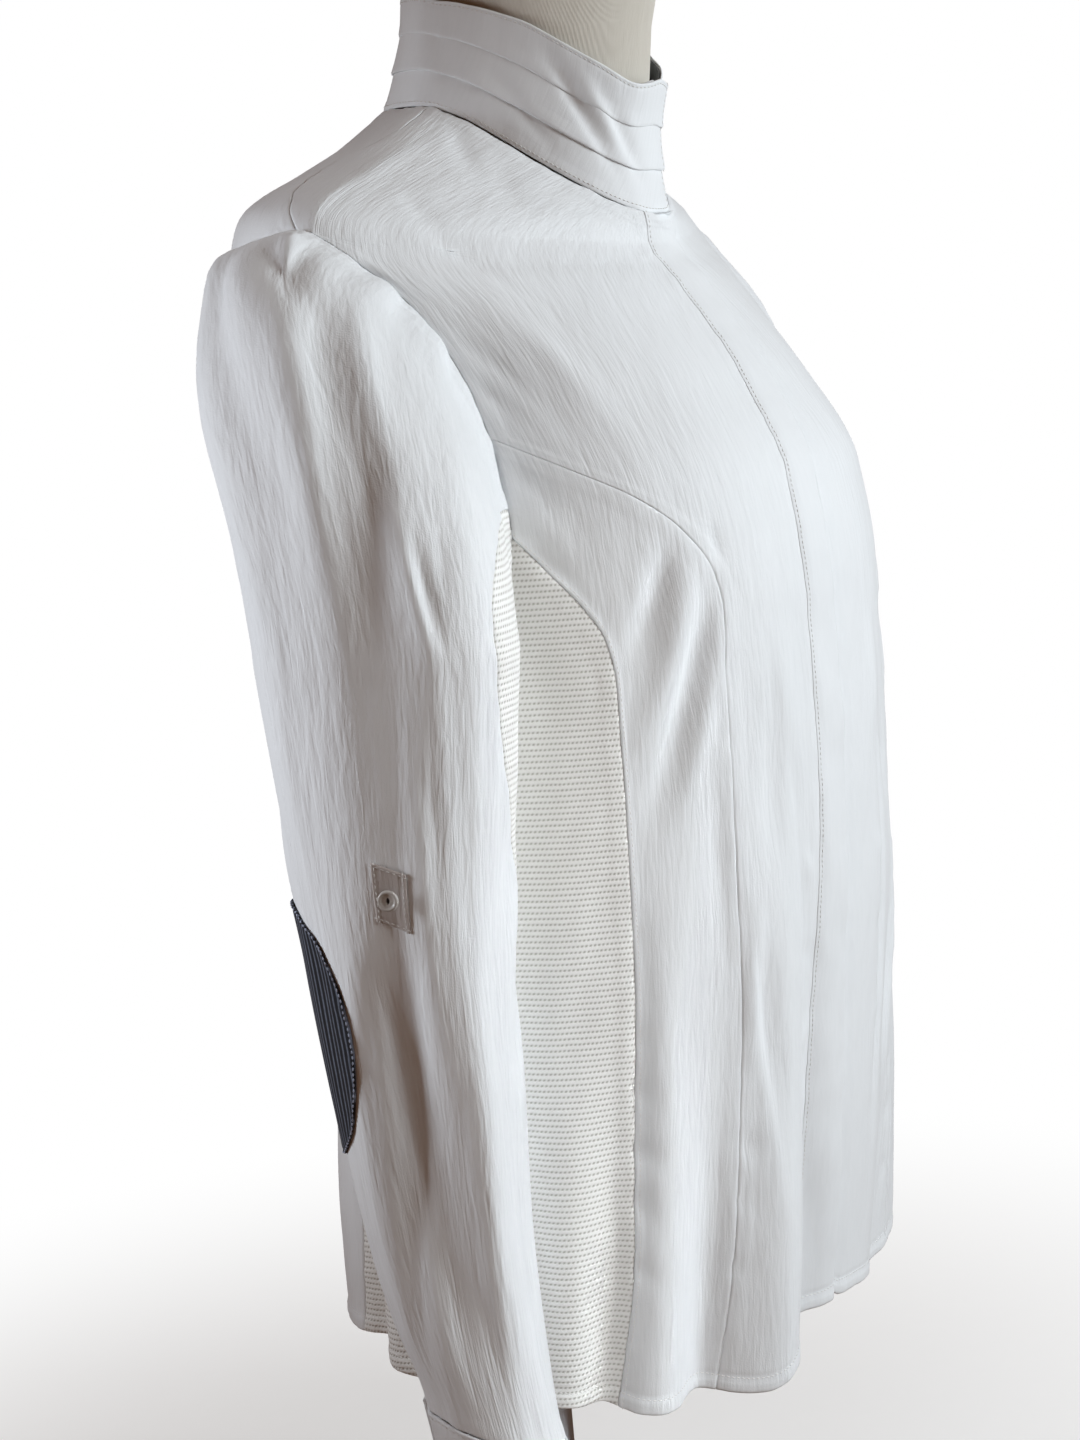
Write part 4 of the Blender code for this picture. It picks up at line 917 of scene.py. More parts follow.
# Its creases.
SLEEVE_CREASES = table("""
turn0  along0  turn1  along1  width0  width1  raise    peak  bow     skew
180    0.04    168    0.44    0.0065  0.0065 -0.0078   0.45  0.0015   0.2
169    0.02    166    0.38    0.0048  0.0052 -0.0062   0.45  0.0010   0.0
174    0.02    171    0.26    0.0032  0.0032  0.0036   0.40  0.0000   0.0
204    0.14    188    0.78    0.0080  0.0090 -0.0056   0.35  0.0020   0.0
165    0.36    175    0.72    0.0060  0.0070 -0.0016   0.20  0.0000   0.0
159    0.00    155    0.80    0.0075  0.0090 -0.0042   0.50  0.0010   0.0
152    0.42    151    1.30    0.0120  0.0130 -0.0052   0.55  0.0000   0.0
156    1.00    160    1.80    0.0080  0.0080 -0.0026   0.35  0.0000   0.0
168    0.22    175    1.25    0.0070  0.0085  0.0050   0.35  0.0000   0.3
140    0.30    137    1.05    0.0060  0.0060  0.0014   0.40  0.0000   0.0
226    0.10    218    0.95    0.0050  0.0070 -0.0040   0.40  0.0000   0.0
240    0.10    240    0.60    0.0220  0.0280 -0.0045   0.35  0.0000   0.0
196    0.02    204    0.50    0.0050  0.0060 -0.0040   0.35  0.0000   0.0
146    0.10    142    0.66    0.0055  0.0070  0.0030   0.50  0.0010   0.3
142    0.60    131    1.03    0.0046  0.0056  0.0034   0.50  0.0015   0.3
138    0.70    128    1.00    0.0034  0.0038 -0.0034   0.50  0.0000   0.0
121    0.64    126    0.95    0.0035  0.0035 -0.0011   0.40  0.0000   0.0
133    0.02    128    0.30    0.0050  0.0060 -0.0016   0.30  0.0000   0.0
120    0.02    116    0.26    0.0060  0.0060  0.0012   0.30  0.0000   0.0
104    0.04    100    0.36    0.0055  0.0060 -0.0012   0.30  0.0000   0.0
171    1.31    199    1.86    0.0045  0.0055 -0.0030   0.35  0.0015   0.4
176    1.28    204    1.80    0.0060  0.0070  0.0016   0.45  0.0010   0.0
144    1.08    132    1.68    0.0060  0.0070  0.0017   0.50  0.0020   0.0
139    1.00    123    1.44    0.0045  0.0050 -0.0013   0.50  0.0020   0.0
131    1.12    120    1.50    0.0040  0.0050  0.0011   0.50  0.0020   0.0
158    1.24    156    1.74    0.0130  0.0150 -0.0066   0.45  0.0000   0.0
154    1.46    146    2.02    0.0170  0.0190 -0.0086   0.50  0.0000   0.0
171    1.31    163    1.80    0.0045  0.0055 -0.0036   0.35  0.0010   0.0
118    1.20    121    1.96    0.0100  0.0100  0.0030   0.50  0.0000   0.0
133    1.55    126    1.97    0.0050  0.0050 -0.0014   0.65  0.0010   0.0
112    1.60    108    1.97    0.0050  0.0045  0.0012   0.65  0.0010   0.0
 92    1.50     88    1.95    0.0060  0.0050 -0.0014   0.60  0.0000   0.0
226    1.70    220    1.98    0.0060  0.0050 -0.0022   0.70  0.0000   0.0
212    1.10    206    1.60    0.0060  0.0060 -0.0012   0.50  0.0000   0.0
247    1.05    222    1.30    0.0070  0.0070 -0.0026   0.50  0.0040   0.2
262    1.12    230    1.38    0.0070  0.0070  0.0020   0.50  0.0040   0.0
280    1.16    246    1.46    0.0070  0.0070 -0.0022   0.50  0.0040   0.2
 58    1.20     96    1.36    0.0070  0.0060 -0.0022   0.40  0.0030   0.2
 52    1.28    100    1.48    0.0070  0.0060  0.0018   0.40  0.0030   0.0
 48    1.40     92    1.60    0.0070  0.0060 -0.0018   0.40  0.0030   0.2
250    0.03    247    0.34    0.0050  0.0060 -0.0022   0.30  0.0000   0.0
228    0.02    226    0.28    0.0045  0.0060  0.0018   0.30  0.0000   0.0
276    0.10    258    0.55    0.0060  0.0070 -0.0018   0.40  0.0020   0.0
290    0.30    262    0.80    0.0070  0.0070 -0.0016   0.40  0.0030   0.2
308    0.55    270    1.00    0.0070  0.0070  0.0014   0.40  0.0030   0.0
270    1.60    262    1.96    0.0060  0.0050 -0.0018   0.65  0.0000   0.0
296    1.50    300    1.95    0.0060  0.0050  0.0015   0.65  0.0000   0.0
""")
OTHER_SLEEVE = 7             # the left sleeve's folds lie this many degrees further round
CUFF_TILT = 0.012            # the sleeve's end dips by this at its front
TILT_TOWARDS = 230           # and rises here

# The underarm gusset's edge, degrees each side of the sleeve's inner line.
GUSSET = table("""
reach  edge
0.00   55.1
0.35   72.0
0.70   91.0
0.90   99.0
1.03   97.0
1.14   89.0
1.28   66.0
1.50   6.0
""")
GUSSET_END = 1.50
ARM = (-0.228, MIDDLE - 0.048)                    # the right arm's middle line
SLEEVE_LONG, SLEEVE_ROUND = 0.60, 0.33            # a sleeve's length and width, for its points
SLEEVE_LENGTHS = (0.0, 0.26, 0.62)                # down its outer side to reach 0, 1 and 2

# Where the armhole's points lie: along the underarm, the side front and each half of the rest.
UNDER_PLACES = np.linspace(0, 1, 25)
SIDE_PLACES = np.linspace(0, 1, 13)
ARMHOLE_PLACES = np.linspace(0, 1, 37)


def armhole_loop():
    """The armhole's stations from the middle of the underarm, up the front and down the back."""
    under = stations(UNDERARM, UNDER_PLACES)
    middle = len(UNDER_PLACES) // 2
    return join(under[middle::-1], stations(ARMHOLE_SIDE, SIDE_PLACES),
                stations(ARMHOLE_FRONT, ARMHOLE_PLACES), stations(ARMHOLE_BACK, ARMHOLE_PLACES)[::-1],
                under[:middle - 1:-1])


LOOP = armhole_loop()
LOOP_POINTS = shirt(LOOP[:, 0], LOOP[:, 1])
LOOP_POINTS_LEFT = shirt(-LOOP[:, 0], LOOP[:, 1]) * [-1, 1, 1]
LOOP_WAY = run_length(trunk(LOOP[:, 0], LOOP[:, 1]))
LOOP_PHI = 360 * LOOP_WAY / LOOP_WAY[-1]
FRONT_PHI = LOOP_PHI[len(UNDER_PLACES) // 2]      # where the mesh panel begins on the loop
BACK_PHI = LOOP_PHI[-1 - len(UNDER_PLACES) // 2]


# The ripples in a sleeve's cloth, coarse and fine: how high, how wide and how long.
SLEEVE_RIPPLES = ((0.0007, 0.011, 0.060), (0.00030, 0.0055, 0.022))
GATHERS = (0.0024, 0.0075, 0.500)                 # and those of the gathers at its cap
CAP_RISE = {1: 1.20, -1: 0.90}                    # how full the right and the left cap are


def sleeve_ring(phi, height, side):
    """Points round a sleeve's tube at heights above the hem."""
    row = {name: through(height, SLEEVE["height"], SLEEVE[name]) for name in SLEEVE if name != "height"}
    power = 2 / row["square"]
    middle = MIDDLE + (row["y"] if side > 0 else row["y_left"])
    x = row["x"] + row["thick"] * signed_power(np.cos(np.radians(phi)), power)
    y = middle - row["across"] * signed_power(np.sin(np.radians(phi)), power)
    tilt = CUFF_TILT * smooth_step((0.13 - height) / 0.11) * np.cos(np.radians(phi - TILT_TOWARDS))
    return np.stack(np.broadcast_arrays(x, y, HEM + height + tilt), -1)


def sleeve_form(phi, reach, side):
    """The sleeve without folds: a cap that leaves the armhole and turns down, then the tube."""
    phi, reach = np.broadcast_arrays(np.asarray(phi, float), np.asarray(reach, float))
    loop = LOOP_POINTS if side > 0 else LOOP_POINTS_LEFT
    start = np.stack([np.interp(phi % 360, LOOP_PHI, loop[:, i]) for i in range(3)], -1)
    end = sleeve_ring(phi, UPPER_ARM, side)
    cosine, sine = np.cos(np.radians(phi)), np.sin(np.radians(phi))
    shoulder = (1 - cosine) / 2
    sweep = np.where(sine > 0, -0.35, -0.60) * sine
    leave = unit(np.stack([-(0.35 + 0.75 * shoulder), sweep, CAP_RISE[side] * shoulder**1.5 - 1.0], -1))
    far = np.linalg.norm(end - start, axis=-1, keepdims=True)
    down = np.array([0, 0, -1.0])
    t = np.clip(reach, 0, 1)[..., None]
    cap = ((2 * t**3 - 3 * t**2 + 1) * start + (t**3 - 2 * t**2 + t) * 0.9 * far * leave
           + (3 * t**2 - 2 * t**3) * end + (t**3 - t**2) * 1.1 * far * down)
    height = UPPER_ARM - (np.clip(reach, 1, None) - 1) * (UPPER_ARM - CUFF_SEAM)
    return np.where((reach <= 1)[..., None], cap, sleeve_ring(phi, height, side))


def sleeve(phi, reach, out=0.0, side=1):
    """A point on the right sleeve moved out from its surface, or on the left one for side -1."""
    phi, reach = np.broadcast_arrays(np.asarray(phi, float), np.asarray(reach, float))

    def form(first, second):
        return sleeve_form(first, second, side)

    around = phi - (0 if side > 0 else OTHER_SLEEVE)
    lift = relief(SLEEVE_FOLDS, around, reach, SLEEVE_DEGREE, SLEEVE_REACH)
    lift = lift + relief(SLEEVE_CREASES, around, reach, SLEEVE_DEGREE, SLEEVE_REACH)
    across, down = (phi % 360) * SLEEVE_DEGREE, reach * SLEEVE_REACH
    seed = 11 if side > 0 else 21
    for i, (high, wide, long) in enumerate(SLEEVE_RIPPLES):
        lift = lift + high * ripple(across, down, wide, long, seed + i)
    lift = lift * smooth_step(reach / 0.10)
    high, wide, long = GATHERS
    gathers = high * ripple(across, down, wide, long, seed + 2) * np.exp(-((reach / 0.20) ** 2))
    lift = lift + gathers * smooth_step(reach / 0.02) * smooth_step((0.30 - np.abs(phi / 360 - 0.5)) / 0.1)
    lift = lift + np.broadcast_to(out, phi.shape)
    return (form(phi, reach) + lift[..., None] * facing(form, phi, reach, 2.0, -0.02)) * [side, 1, 1]


def arm(side):
    """The middle line of the right arm, or of the left one for side -1."""
    return (ARM[0] * side, ARM[1])


def sleeve_threads(phi, reach):
    """Where the threads of a sleeve run: across and down, in metres."""
    down = np.interp(reach, (0, 1, 2), SLEEVE_LENGTHS)
    return np.stack(np.broadcast_arrays(phi * SLEEVE_DEGREE, down), -1)


def make_sleeves(side, tag):
    """The sleeve proper, open along its inner seam, and the mesh gusset in that seam's top."""
    down = shares(SLEEVE_LONG, FINE_CELL)
    reach = 2 * down[:, None]
    edge = through(reach, GUSSET["reach"], GUSSET["edge"]) * (reach < GUSSET_END)
    back_edge = edge * (360 - BACK_PHI) / FRONT_PHI
    phi = edge + shares(SLEEVE_ROUND, FINE_CELL)[None] * (360 - edge - back_edge)
    cloth("sleeve_cloth_" + tag, sleeve(phi, reach, 0, side), CREPE,
          dict(bottom="cap", top="seam", first="seam", last="seam"), arm(side),
          places=sleeve_threads(phi, reach))

    reach = GUSSET_END * shares(0.42)[:, None]
    edge = through(reach, GUSSET["reach"], GUSSET["edge"])
    back_edge = edge * (360 - BACK_PHI) / FRONT_PHI
    phi = -back_edge + shares(0.12)[None] * (edge + back_edge)
    cloth("gusset_cloth_" + tag, sleeve(phi, reach, 0, side), KNIT,
          dict(bottom="seam", top="plain", first="seam", last="seam"), arm(side),
          places=sleeve_threads(phi, reach))


# ---------------------------------------------------------------- what is sewn on the sleeves

SEWN_ROUND = dict(bottom="sewn", top="sewn", first="sewn", last="sewn")
CUFF_START = 2.0015          # the reach where the cuff begins
CUFF_STANDS = 0.0012         # the cuff's face outside the sleeve's line
CUFF_LAP = 24                # its ends lap by this many degrees
CUFF_OPENS = 300             # where its upper end lies
TAB = dict(phi=159.0, reach=1.283, round=17.0, length=0.076, slant=0.018)
PATCH = dict(phi=245.0, reach=1.471, round=112.0, length=0.332)
ON_CLOTH = 0.0009            # what is sewn on a sleeve lies this far off its face


def make_cuff(side, tag):
    """A cuff: a doubled band round the wrist whose upper end laps over the lower one."""
    way = (360 + CUFF_LAP) * shares(0.22, 0.0024)
    out = CUFF_STANDS + (FOLDED + 2 * LAP) * smooth_step((way - 320) / 40)
    reach = CUFF_START + (CUFF_END - CUFF_START) * shares(0.060)[:, None]
    cloth("cuff_cloth_" + tag, sleeve((CUFF_OPENS - CUFF_LAP - way)[None], reach, out[None], side), CREPE,
          SEWN_ROUND, arm(side), FOLDED)


def make_sewn_on(side, tag):
    """The reinforcement under the roll-up tab's button and the oval elbow patch."""
    across, down = np.meshgrid(shares(0.017, 0.0012) - 0.5, shares(0.030, 0.0016) - 0.5)
    cloth("tab_cloth_" + tag, sleeve(TAB["phi"] + TAB["round"] * across,
                                     TAB["reach"] + TAB["length"] * down - TAB["slant"] * across,
                                     ON_CLOTH + SHELL, side), TAB_SHADED_CREPE, SEWN_ROUND, arm(side))
    across, down = np.meshgrid(2 * shares(0.10, FINE_CELL) - 1, 2 * shares(0.12, FINE_CELL) - 1)
    round_across = across * np.sqrt(1 - down**2 / 2)
    round_down = down * np.sqrt(1 - across**2 / 2)
    cloth("elbow_cloth_" + tag, sleeve(PATCH["phi"] + PATCH["round"] / 2 * round_across,
                                       PATCH["reach"] + PATCH["length"] / 2 * round_down,
                                       ON_CLOTH + SHELL, side), STRIPE, SEWN_ROUND, arm(side))


# ---------------------------------------------------------------- the collar

COLLAR_HEIGHT = table("""
turn   height
0      0.066
20     0.061
35     0.063
60     0.064
71     0.061
84     0.056
95     0.053
120    0.054
180    0.055
""")
COLLAR_END = 12              # both ends run this many degrees past the centre front
COLLAR_STACK = 0.0048        # the left end dips this far, under the right one
COLLAR_DEGREE = 0.0012       # one degree round the collar, in metres
COLLAR_ROUND = 0.42
COLLAR_SQUARE = 2.12         # its front is a little squarer than an ellipse, whose power is 2
COLLAR_UNDER = (322, 22)     # the left end begins to dip at this turn, over so many degrees
CREASES_END = (345, 20)      # the creases have died out at this turn, over so many degrees
COLLAR_DIP = 0.0022          # creases move the collar no further than this
COLLAR_GAP = 0.0002          # between the neck seam and the collar

# The collar's section up its height (1 for its full front height): half width, front and back.
COLLAR_SECTION = table("""
k     wide    front   back
0.00  0.0620  0.0850  0.0640
0.35  0.0596  0.0834  0.0530
0.62  0.0578  0.0846  0.0475
1.00  0.0562  0.0922  0.0450
""")

# The three tiers between the tucks, and the contrast facing inside: where each begins and ends, as
# a share of the collar's height, how far its face stands out at both edges, and its height.
TIERS = table("""
bottom  top    out_bottom  out_top  high
0.000   0.365  0.0000      0.0000   0.024
0.333   0.700  0.0011      0.0000   0.024
0.667   1.000  0.0006      0.0000   0.022
0.000   0.995 -0.0016     -0.0016   0.062
""")
TIER_NAMES = ["collar_lower", "collar_middle", "collar_upper", "collar_inside"]

# Creases of the collar: turn, and share of its height.
COLLAR_CREASES = table("""
turn0  along0  turn1  along1  width0  width1  raise    peak  bow     skew
 62    1.00     20    0.10    0.0045  0.0050 -0.0020   0.45  0.0020   0.2
 52    1.00     14    0.25    0.0040  0.0045  0.0014   0.45  0.0020   0.0
 36    0.95      4    0.05    0.0045  0.0050 -0.0015   0.50  0.0010   0.2
 80    0.60     46    0.05    0.0050  0.0050 -0.0012   0.50  0.0010   0.0
100    0.95     84    0.10    0.0060  0.0060 -0.0007   0.50  0.0010   0.0
140    0.90    120    0.10    0.0070  0.0070 -0.0008   0.50  0.0010   0.0
200    0.95    215    0.15    0.0070  0.0070 -0.0008   0.50  0.0010   0.0
262    0.90    285    0.10    0.0060  0.0060 -0.0010   0.50  0.0010   0.2
300    0.95    338    0.15    0.0050  0.0050 -0.0012   0.50  0.0020   0.2
""")


def collar(turn, share, out=0.0):
    """A point on the collar: share of its height above the neck seam, moved out from its surface."""
    turn, share = np.broadcast_arrays(np.asarray(turn, float), np.asarray(share, float))
    from_front = np.abs((turn + 180) % 360 - 180)
    height = share * through(from_front, COLLAR_HEIGHT["turn"], COLLAR_HEIGHT["height"])
    under = COLLAR_STACK * smooth_step((turn - COLLAR_UNDER[0]) / COLLAR_UNDER[1])
    k = height / COLLAR_HEIGHT["height"][0]
    wide, front, back = (through(k, COLLAR_SECTION["k"], COLLAR_SECTION[c])
                         for c in ("wide", "front", "back"))
    sine, cosine = np.sin(np.radians(turn)), np.cos(np.radians(turn))
    power = 2 / np.where(cosine > 0, COLLAR_SQUARE, 2.0)
    crease = relief(COLLAR_CREASES, turn, share, COLLAR_DEGREE, COLLAR_HEIGHT["height"][0])
    crease = crease + 0.0003 * ripple(turn * COLLAR_DEGREE, height, 0.014, 0.060, 31)
    fading = smooth_step((CREASES_END[0] - turn) / CREASES_END[1])
    reach_out = out - under + np.clip(crease, -COLLAR_DIP, COLLAR_DIP) * fading
    x = -(wide + reach_out) * signed_power(sine, power)
    y = np.where(cosine > 0, -(front + reach_out), back + reach_out)
    z = trunk(turn % 360, TOP)[..., 2] + height + COLLAR_GAP
    return np.stack([x, MIDDLE + y * np.abs(cosine) ** power, z], -1)


def make_collar():
    """The three tiers of the stand and the contrast facing inside them."""
    turn = (360 + 2 * COLLAR_END) * shares(COLLAR_ROUND, 0.0030)[None] - COLLAR_END
    for name, bottom, top, out_bottom, out_top, high in zip(TIER_NAMES, *TIERS.values()):
        step = shares(high, 0.0026)[:, None]
        points = collar(turn, bottom + (top - bottom) * step, out_bottom + (out_top - out_bottom) * step)
        inside = name == "collar_inside"
        edges = dict(SEWN_ROUND, bottom="folded", top="sewn" if name == "collar_upper" else "plain")
        cloth(name, points, HEATHER if inside else INTERLINED_CREPE, edges, (0, MIDDLE - 0.012))


# ---------------------------------------------------------------- the trunk's panels

SIDE_LONG, ARMHOLE_LONG, SHOULDER_LONG = 0.46, 0.15, 0.15
SIDE_CROWD = 1.4             # rows are closer at the armhole by this power
FLY_LAP = 0.0012             # the band laps the right front by this
FLY_FOLDS = 0.0020           # height of the soft folds that cross the band
FLY_FOLD_APART = 0.030       # and how far apart they are
FLY_WIDE = 0.028             # the band's width


def fly_turn(along, column, offset=0.0):
    """The turn of one of the band's edges, moved aside by an offset in metres."""
    return turn_at(through(along, FLY["along"], FLY[column]) + offset, along)


def side_places():
    """Shares up the side, closer together beside the hem."""
    even = shares(SIDE_LONG, CELL, end=False)
    return 1 - (1 - even) ** (1 / SIDE_CROWD)


def trunk_threads(grid):
    """Where the threads of a trunk panel run: across and up, in metres."""
    return grid * [TRUNK_DEGREE, 1]


def make_trunk():
    """Fronts, side fronts, mesh sides, the fly band and the back."""
    side = side_places()
    armhole = shares(ARMHOLE_LONG, CELL, start=False, end=False)
    neck = shares(SHOULDER_LONG, CELL, start=False)
    princess, mesh_front, mesh_back = (stations(seam, side, SIDE_CROWD)
                                       for seam in (PRINCESS, MESH_FRONT, MESH_BACK))
    front_edge = join(princess, stations(ARMHOLE_FRONT, armhole), stations(SHOULDER, neck))
    back_edge = join(mesh_back, stations(ARMHOLE_BACK, armhole), stations(SHOULDER, neck))
    front_places, side_front_places = shares(0.160), shares(0.058)
    mesh_places, back_places = shares(0.190), shares(0.420)
    middle = (0, MIDDLE)
    sides = dict(bottom="hem", first="seam", last="seam")

    for way, tag in ((1, "right"), (-1, "left")):
        armhole_front = stations(ARMHOLE_SIDE, side_front_places)[::-1]
        grid = span(princess, mesh_front, side_front_places, armhole_front)
        cloth("side_front_cloth_" + tag, shirt(grid[..., 0] * way, grid[..., 1]), PRESSED_CREPE,
              dict(bottom="hem", top="seam", first="seam", last="felled"), middle, places=trunk_threads(grid))
        grid = span(mesh_front, mesh_back, mesh_places, stations(UNDERARM, mesh_places))
        cloth("side_mesh_cloth_" + tag, shirt(grid[..., 0] * way, grid[..., 1]), KNIT,
              dict(sides, top="seam"), middle, places=trunk_threads(grid))

    mirrored = (back_edge * [-1, 1]) + [360, 0]
    grid = span(back_edge, mirrored, back_places)
    cloth("back_cloth", shirt(grid[..., 0], grid[..., 1]), PRESSED_CREPE,
          dict(sides, top="seam"), middle, places=trunk_threads(grid))

    level = front_edge[:, 1] * TOP / front_edge[-1, 1]
    sewn = np.stack([fly_turn(level, "sewn"), level], -1)
    free = np.stack([fly_turn(level, "free"), level], -1)
    grid = span(sewn, front_edge, front_places)
    cloth("front_cloth_right", shirt(grid[..., 0], grid[..., 1]), PRESSED_CREPE,
          dict(sides, top="seam"), middle, places=trunk_threads(grid))

    lapped = np.stack([fly_turn(level, "sewn", -FLY_LAP), level], -1)
    grid = span(free, lapped, shares(0.029, 0.0025))
    points = shirt(grid[..., 0], grid[..., 1])
    stands = FLY_STANDS * (0.4 + 0.6 * smooth_step((1 - shares(0.029, 0.0025)) / 0.3))
    across = FLY_WIDE * np.linspace(1, 0, len(stands))[None]
    folds = FLY_FOLDS * (0.5 + 0.5 * ripple(grid[..., 1] + 0.6 * across, across, FLY_FOLD_APART, 0.024, 9))
    stands = stands[None] + folds * smooth_step(across / 0.012)
    points = points + stands[..., None] * grid_normals(points, middle)
    cloth("fly_cloth", points, INTERLINED_CREPE,
          dict(bottom="hem", top="seam", first="folded", last="joined"), middle, FOLDED, trunk_threads(grid))

    # The left front runs on under the band as the button stand.
    dip_edge = np.stack([fly_turn(level, "free", 0.002), level], -1)
    rise_edge = np.stack([fly_turn(level, "free", 0.002 + STAND_DIP), level], -1)
    under_edge = np.stack([fly_turn(level, "sewn", 0.003), level], -1)
    even = np.linspace(0, 1, 7)
    main_places = shares(0.130, end=False)
    grid = np.concatenate([span(front_edge * [-1, 1], rise_edge, main_places),
                           span(rise_edge, dip_edge, even)[:, 1:],
                           span(dip_edge, under_edge, even)[:, 1:]], axis=1)
    dip = np.concatenate([np.zeros(len(main_places)), smooth_step(even[1:]), np.ones(len(even) - 1)])
    points = shirt(grid[..., 0], grid[..., 1])
    points = points - (STAND_UNDER * dip)[:, None] * grid_normals(points, middle)
    cloth("front_cloth_left", points, PRESSED_CREPE,
          dict(bottom="hem", top="seam", first="seam", last="folded"), middle, places=trunk_threads(grid))


# ---------------------------------------------------------------- the dress form and its stand

# How far the form's skin is inside the shirt's, up the side, and how much more at the centre front.
FORM_INSET = table("""
along  inset   more_front
0.030  0.0320  0.0000
0.120  0.0260  0.0020
0.250  0.0200  0.0030
0.380  0.0160  0.0035
0.450  0.0130  0.0035
0.520  0.0100  0.0035
0.560  0.0078  0.0035
0.590  0.0072  0.0040
0.615  0.0063  0.0045
0.650  0.0051  0.0050
0.680  0.0034  0.0055
0.700  0.0028  0.0060
0.715  0.0032  0.0070
0.730  0.0060  0.0095
""")
FORM_BOTTOM = 0.030
FORM_SHOULDER = 0.730
FORM_COLUMNS = 144
FORM_ROWS = np.concatenate([np.linspace(FORM_BOTTOM, 0.50, 40), np.linspace(0.508, FORM_SHOULDER, 30)])
NECK_TOP = 0.728             # height above the hem where the crown begins

# The neck, from inside the collar up: height above the hem, half width, front and back.
NECK = table("""
height  wide    front   back
0.665   0.0500  0.0830  0.0350
0.690   0.0495  0.0900  0.0320
0.730   0.0490  0.0985  0.0270
""")
# The neck's rounded top: height above the hem, and size as a share of the neck's.
CROWN = [(0.7285, 1.0), (0.7300, 0.985), (0.7308, 0.95), (0.7310, 0.5), (0.7310, 0.05)]


def neck_ring(turn, height):
    """Points round the form's neck at a height above the hem."""
    row = {name: through(height, NECK["height"], NECK[name]) for name in NECK if name != "height"}
    x = -row["wide"] * np.sin(np.radians(turn))
    middle = MIDDLE + (row["back"] - row["front"]) / 2
    y = middle - (row["front"] + row["back"]) / 2 * np.cos(np.radians(turn))
    return np.stack([x, y, HEM + height + 0 * x], -1)


def lofted(name, rings, finish, width):
    """A closed body through rings of points, with flat ends and a UV map in metres."""
    rings = np.array(rings)
    rows, columns = rings.shape[:2]
    rings = np.concatenate([rings, rings[:, :1]], axis=1)
    index = np.arange(rows * columns).reshape(rows, columns)
    index = np.concatenate([index, index[:, :1]], axis=1)
    low, high = index[:-1], index[1:]
    faces = np.stack([low[:, :-1], low[:, 1:], high[:, 1:], high[:, :-1]], -1).reshape(-1, 4).tolist()
    faces += [index[0, -2::-1].tolist(), index[-1, :-1].tolist()]
    up = run_length(rings[:, 0])
    around = np.abs(np.linspace(-width / 2, width / 2, columns, endpoint=False))
    places = np.stack(np.broadcast_arrays(around[None], up[:, None]), -1).reshape(-1, 2)
    made = add_mesh(name, rings[:, :-1].reshape(-1, 3), faces, finish, places)
    made.data.set_sharp_from_angle(angle=math.radians(50))
    return made


def make_form():
    """The torso inside the shirt, its shoulders closed, running up into a forward neck."""
    turn = np.arange(FORM_COLUMNS) * 360 / FORM_COLUMNS
    rings = []
    for along in FORM_ROWS:
        inset, more = (through(along, FORM_INSET["along"], FORM_INSET[c]) for c in ("inset", "more_front"))
        inset = inset + more * smooth_step(np.cos(np.radians(turn)) / 0.7)
        ring = trunk(turn, along) - inset[:, None] * facing(trunk, turn, along, 0.4, 0.002)
        if along == FORM_BOTTOM:
            ring[:, 2] = HEM + FORM_BOTTOM
        rings.append(ring)
    foot, head = rings[-1], neck_ring(turn, NECK["height"][0])
    frontal = smooth_step(np.cos(np.radians(turn)) / 0.8)
    for share in np.linspace(0, 1, 9)[1:-1]:
        sweep, lift = 1 - (1 - share) ** 2.4, share ** 1.4
        blend = np.stack([sweep + 0 * turn, sweep + (lift - sweep) * frontal, lift + 0 * turn], -1)
        rings.append(foot * (1 - blend) + head * blend)
    rings += [neck_ring(turn, height) for height in np.linspace(NECK["height"][0], NECK_TOP, 12)]
    crown = rings[-1]
    middle = crown.mean(axis=0)
    for height, size in CROWN:
        ring = middle + (crown - middle) * size
        ring[:, 2] = HEM + height
        rings.append(ring)
    return lofted("form_linen_cover", rings, LINEN, 0.9)


# ---------------------------------------------------------------- buttons

BUTTON_RADIUS = 0.0049
BUTTON_THICK = 0.0022
BUTTON_STANDS = 0.0003       # its underside lies this far off the cloth
SLOT = (0.0015, 0.00080)     # half length and half width of the slot for the thread

# The button's section: radius as a share of the whole, and height as a share of the thickness.
BUTTON_SECTION = table("""
radius  height
0.70    0.00
0.86    0.06
0.97    0.22
1.00    0.45
0.98    0.70
0.92    0.90
0.84    1.00
0.74    0.98
0.66    0.86
0.60    0.74
0.45    0.68
""")
BUTTON_SIDES = 48
SLOT_SECTION = ((1.35, 0.66), (1.0, 0.60), (0.92, 0.22))   # size, and height as a share of the thickness
SHANK_SECTION = ((0.88, 0.88, 0.0005), (0.88, 0.88, 0.0007), (0.70, 0.60, 0.0009))   # long, wide, height


